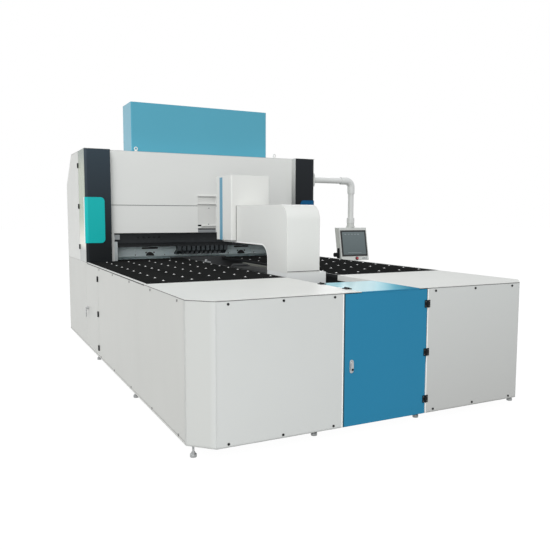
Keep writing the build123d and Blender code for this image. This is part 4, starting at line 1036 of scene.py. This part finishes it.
def fit_slot_fittings():
    """The stop rail on the slot's right wall and the locating stop on its left bar."""
    rail_proud, rail_seat = 0.032, 0.0025
    rail_front, rail_rear = 2.262, 2.905
    rail_bottom, rail_top = 0.862, 0.928
    bolt_proud, bolt_z, bolt_rows = 0.029, 0.895, (2.33, 2.58, 2.84)
    stop_seat, stop_reach = 0.002, 0.082
    stop_front, stop_rear = 2.930, 3.035
    stop_bottom, stop_top = 0.928, 0.948
    pin_x, pin_y, pin_z, pin_radius, pin_length = 0.050, 2.990, 0.956, 0.014, 0.018
    low = spot(slot_right - rail_proud, rail_front, rail_bottom)
    high = spot(slot_right + rail_seat, rail_rear, rail_top)
    groove = (left, 0.008, 0.003)
    fit_block("slot_stop_rail", low, high, 0.002, "machine", rail_paint, groove)
    bolts = [spot(slot_right - bolt_proud, y, bolt_z) for y in bolt_rows]
    socket_screws("stop_rail_bolts", bolts, "left", 0.011, 0.006, "machine", hinge_black)
    low = spot(-slot_left - stop_seat, stop_front, stop_bottom)
    high = spot(-slot_left + stop_reach, stop_rear, stop_top)
    stop = start_block("locating_stop", low, high)
    step_face(stop, up, (0.012, 0.003))
    round_edges(stop, 0.0015)
    pin = start_round("locating_pin", spot(-slot_left + pin_x, pin_y, pin_z), pin_radius, pin_length)
    step_face(pin, up, (0.004, 0.004))
    fit(join(stop, [pin]), "machine", steel_ground)


def fit_neck_seal():
    """The dark seal where the arm runs into the clamp head."""
    proud, reach, seat, bottom = 0.0015, 0.007, 0.001, 1.190
    arm_low, arm_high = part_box("manipulator_arm")
    head_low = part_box("clamp_head")[0]
    low = Vector((arm_low.x - proud, head_low.y - reach, bottom))
    high = Vector((arm_high.x + proud, head_low.y + seat, arm_high.z + proud))
    fit_block("neck_seal", low, high, 0.0012, "manipulator", seal_black)


def fit_recess_rails():
    """The lip, the gap with a black block in it as painted shade, and the rail under the middle panel of the
    hood, and its small fittings.
    """
    half = 0.106
    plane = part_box("hood_band")[0].y - front_y
    panel_face = plane + 0.003
    whole, foot, sensor = (-half, half), (-0.108, -0.068), (-0.107, -0.071)
    dimple = (front, 0.004, 0.0015)
    blocks = (
        ("recess_lip", whole, 1.291, 1.315, 0.003, 0.014, 0.0015, "white", recess_coat, None),
        # A black block at the back of the gap stands for the shade in it.
        ("recess_gap_shade", whole, 1.276, 1.292, 0.010, 0.016, 0.0015, "hinge_black", seal_black, None),
        ("recess_rail", whole, 1.244, 1.277, -0.002, 0.014, 0.0015, "steel", rail_primer, None),
        ("sensor_foot", foot, 1.294, 1.314, -0.016, 0.004, 0.002, "white", fitting_coat, None),
        ("recess_sensor", sensor, 1.314, 1.333, -0.015, 0.004, 0.0012, "hinge_black", hinge_black, dimple),
    )
    for name, ends, bottom, top, near, far, edge, slot, finish, sunk in blocks:
        low, high = spot(ends[0], plane + near, bottom), spot(ends[1], plane + far, top)
        fit_block(name, low, high, edge, "machine", finish, sunk)
    screws = [spot(0.026, panel_face, 1.519), spot(0.021, panel_face, 1.338)]
    socket_screws("recess_screws", screws, "front", 0.007, 0.003, "machine", foot_zinc)


def fit_carrier_linings():
    """Dark plugs in the carrier's bores and slots as painted shade, and the black bolts sunk in its face."""
    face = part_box("blade_carrier")[0].y - front_y + 0.005
    bore_x, bore_z, jaw_z = 0.566, 0.970, 0.978
    plug_radius, plug_depth, plug_length = 0.0497, 0.012, 0.016
    slot_half, slot_bottom, slot_top = 0.0945, 1.0548, 1.0732
    slot_near, slot_far = face + 0.004, face + 0.022
    bolt_y = face + 0.003
    bolt_x, bolt_rise = 0.046, 0.044
    pin_x, pin_rise = 0.170, 0.018
    bore_and_slot_shades, bolts, pins = [], [], []
    for side in (-1, 1):
        x = side * bore_x
        place = spot(x, face + plug_depth, bore_z)
        # Painted shade: a dark plug set into each bore, and a dark bar in each slot.
        plug = start_round("carrier_bore_shade", place, plug_radius, plug_length, to_front, 40)
        pick_all("FACE")
        bpy.ops.mesh.bisect(plane_co=spot(x, face, jaw_z), plane_no=up, use_fill=True, clear_inner=True)
        leave()
        dish(plug, front, 0.006, 0.005)
        low, high = spot(x - slot_half, slot_near, slot_bottom), spot(x + slot_half, slot_far, slot_top)
        bar = start_block("carrier_slot_shade", low, high)
        round_edges(bar, 0.006, 3)
        bore_and_slot_shades += [plug, bar]
        bolts += [spot(x + way * bolt_x, bolt_y, bore_z + bolt_rise) for way in (-1, 1)]
        pins += [spot(x + way * pin_x, bolt_y, bore_z + pin_rise) for way in (-1, 1)]
    fit(join(bore_and_slot_shades[0], bore_and_slot_shades[1:]), "blade_carrier", seal_black)
    for name, places, radius in (("carrier_bolts", bolts, 0.0088), ("carrier_pins", pins, 0.0058)):
        socket_screws(name, places, "front", radius, 0.004, "blade_carrier", seal_black)


def fit_throat_blocks():
    """At each end of the throat, a grey guide block and the paler gib below it."""
    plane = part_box("hood_band")[0].y - front_y + 0.003
    outer, gib_bottom = 1.041, table_height + 0.001
    pocket = (front, 0.008, 0.002)
    blocks = (
        ("guide", 0.982, 0.066, 1.177, 1.229, 0.002, "carriage_grey", key_grey, pocket),
        ("gib", 1.006, 0.060, gib_bottom, 1.155, 0.003, "steel", gib_grey, None),
    )
    for side, name in both_sides:
        for kind, inner, depth, bottom, top, edge, slot, finish, sunk in blocks:
            low_x, high_x = sorted((side * outer, side * inner))
            low, high = spot(low_x, plane, bottom), spot(high_x, plane + depth, top)
            fit_block(f"throat_{kind}_{name}", low, high, edge, "machine", finish, sunk)


def fit_hood_seams():
    """Dark joints between the hood and its lower band, and under the arm's nose."""
    thick, recess_half = 0.0012, 0.108
    seam_height, seam_drop = 0.006, 0.001
    nose_height, nose_rise, nose_inset = 0.0055, 0.0085, 0.004
    band_low, band_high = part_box("hood_band")
    plane = band_low.y - front_y - 0.0002
    reach = band_high.x - middle_x
    for side, name in both_sides:
        path = [spot(side * x, plane, band_high.z - seam_drop) for x in (recess_half, reach)]
        fit(ribbon(f"hood_seam_{name}", path, seam_height, thick), "machine", seam_grey)
    arm_low, arm_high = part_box("manipulator_arm")
    nose_y, nose_z = arm_low.y - 0.0003, arm_low.z + nose_rise
    path = [Vector((x, nose_y, nose_z)) for x in (arm_low.x + nose_inset, arm_high.x - nose_inset)]
    fit(ribbon("nose_seam", path, nose_height, thick), "manipulator", seam_grey)


def fit_rear_joints():
    """Joint strips and screws of the three sheets that make up the rear wall."""
    bottom, top = rear_low.z, rear_high.z
    height = top - bottom
    rear = rear_high.y - front_y
    strip_half, strip_seat, strip_rise, strip_end = 0.018, 0.0002, 0.003, 0.02
    screw_radius, screw_rise = 0.008, 0.004
    strips = []
    for share in (-1 / 3, 1 / 3):
        low = spot(half_width * share - strip_half, rear - strip_seat, bottom + strip_end)
        high = spot(half_width * share + strip_half, rear + strip_rise, top - strip_end)
        strip = start_block("rear_joint_strip", low, high)
        round_edges(strip, 0.0012)
        strips.append(strip)
    fit(join(strips[0], strips[1:]), "machine", white_coat)
    columns = [half_width * share for share in (-0.96, -0.66, -0.40, -0.27, 0, 0.27, 0.40, 0.66, 0.96)]
    heights = (bottom + 0.04, bottom + height * 0.35, bottom + height * 0.68, top - 0.05)
    places = [spot(x, rear, z) for x in columns for z in heights]
    socket_screws("rear_screws", places, "rear", screw_radius, screw_rise, "machine", foot_zinc)
    cover_low, cover_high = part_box("right_column_cover")
    cover_length = cover_high.y - cover_low.y
    places = [
        spot(half_width, cover_low.y - front_y + cover_length * share, table_height + rise)
        for share in (0.05, 0.35, 0.65, 0.95)
        for rise in (0.03, 0.40, 0.79)
    ]
    socket_screws("cover_screws", places, "right", screw_radius, screw_rise, "machine", foot_zinc)


fit_hinge_screws()
fit_seams()
fit_feet()
fit_balls()
fit_door_reveals()
fit_lid_fold()
fit_lock_key()
fit_display()
fit_panel_keys()
fit_panel_clamp()
fit_lifting_eyes()
fit_slot_fittings()
fit_neck_seal()
fit_recess_rails()
fit_carrier_linings()
fit_throat_blocks()
fit_hood_seams()
fit_rear_joints()


def aim_camera():
    """Stand where the photograph was taken from, with its lens."""
    data = bpy.data.cameras.new("photo_camera")
    data.sensor_width = 36
    data.lens = 40.76
    data.clip_end = 200
    camera = bpy.data.objects.new("photo_camera", data)
    scene.collection.objects.link(camera)
    camera.location = (-2.89625, -5.518, 1.432)
    tilt, roll, heading = 90 - 5.409, -0.158, -26.693
    camera.rotation_euler = [math.radians(angle) for angle in (tilt, roll, heading)]
    scene.camera = camera


def lay_floor():
    """A wide pale floor that keeps the machine's shadow."""
    clear_hand()
    bpy.ops.mesh.primitive_plane_add(size=120, location=(0, 0, 0))
    floor = bpy.context.object
    floor.name = "studio_floor"
    paint = Finish("studio_floor")
    rays = ("Is Camera Ray", "Is Glossy Ray", "Is Transmission Ray")
    camera, glossy, through = (paint.node("ShaderNodeLightPath", {}, {}, ray) for ray in rays)
    seen = camera + glossy + through
    glow_share = 0.78
    matt = paint.node("ShaderNodeBsdfDiffuse", {}, {"Color": (0.30, 0.30, 0.30, 1)})
    glow = paint.node("ShaderNodeEmission", {}, {"Color": (1, 1, 1, 1), "Strength": 1.25})
    mixed = paint.node("ShaderNodeMixShader", {}, {0: seen * glow_share, 1: matt, 2: glow})
    paint.node("ShaderNodeOutputMaterial", {}, {"Surface": mixed})
    floor.data.materials.append(paint.material)


def light_studio():
    """Soft white room light, with a broad key light from the front left."""
    world = Finish("studio_world", bpy.data.worlds)
    scene.world = world.material
    seen = world.node("ShaderNodeLightPath", {}, {}, "Is Camera Ray")
    room = world.node("ShaderNodeBackground", {}, {"Color": (0.97, 0.985, 1.0, 1), "Strength": 0.72})
    white = world.node("ShaderNodeBackground", {}, {"Color": (1, 1, 1, 1)})
    mixed = world.node("ShaderNodeMixShader", {}, {0: seen, 1: room, 2: white})
    world.node("ShaderNodeOutputWorld", {}, {"Surface": mixed})
    lamps = (
        ("key_sun", "SUN", (-3.6, -6.0, 5.6), (0.0, 0.0, 0.0), 0.45, 0.85),
        ("front_light", "AREA", (-4.6, -8.2, 1.6), (-0.8, 1.0, 1.1), 4.0, 215),
        ("left_light", "AREA", (-7.0, 1.6, 3.6), (-0.8, 1.0, 1.4), 4.0, 120),
        ("rear_light", "AREA", (3.5, 8.5, 4.0), (0.0, 1.0, 1.0), 5.0, 150),
    )
    for name, kind, place, target, size, power in lamps:
        data = bpy.data.lights.new(name, kind)
        data.energy = power
        if kind == "SUN":
            data.angle = size
        else:
            data.size = size
        lamp = bpy.data.objects.new(name, data)
        scene.collection.objects.link(lamp)
        lamp.location = place
        away = [a - b for a, b in zip(place, target)]
        level = math.hypot(away[0], away[1])
        lamp.rotation_euler = (math.atan2(level, away[2]), 0, math.atan2(away[0], -away[1]))


aim_camera()
lay_floor()
light_studio()
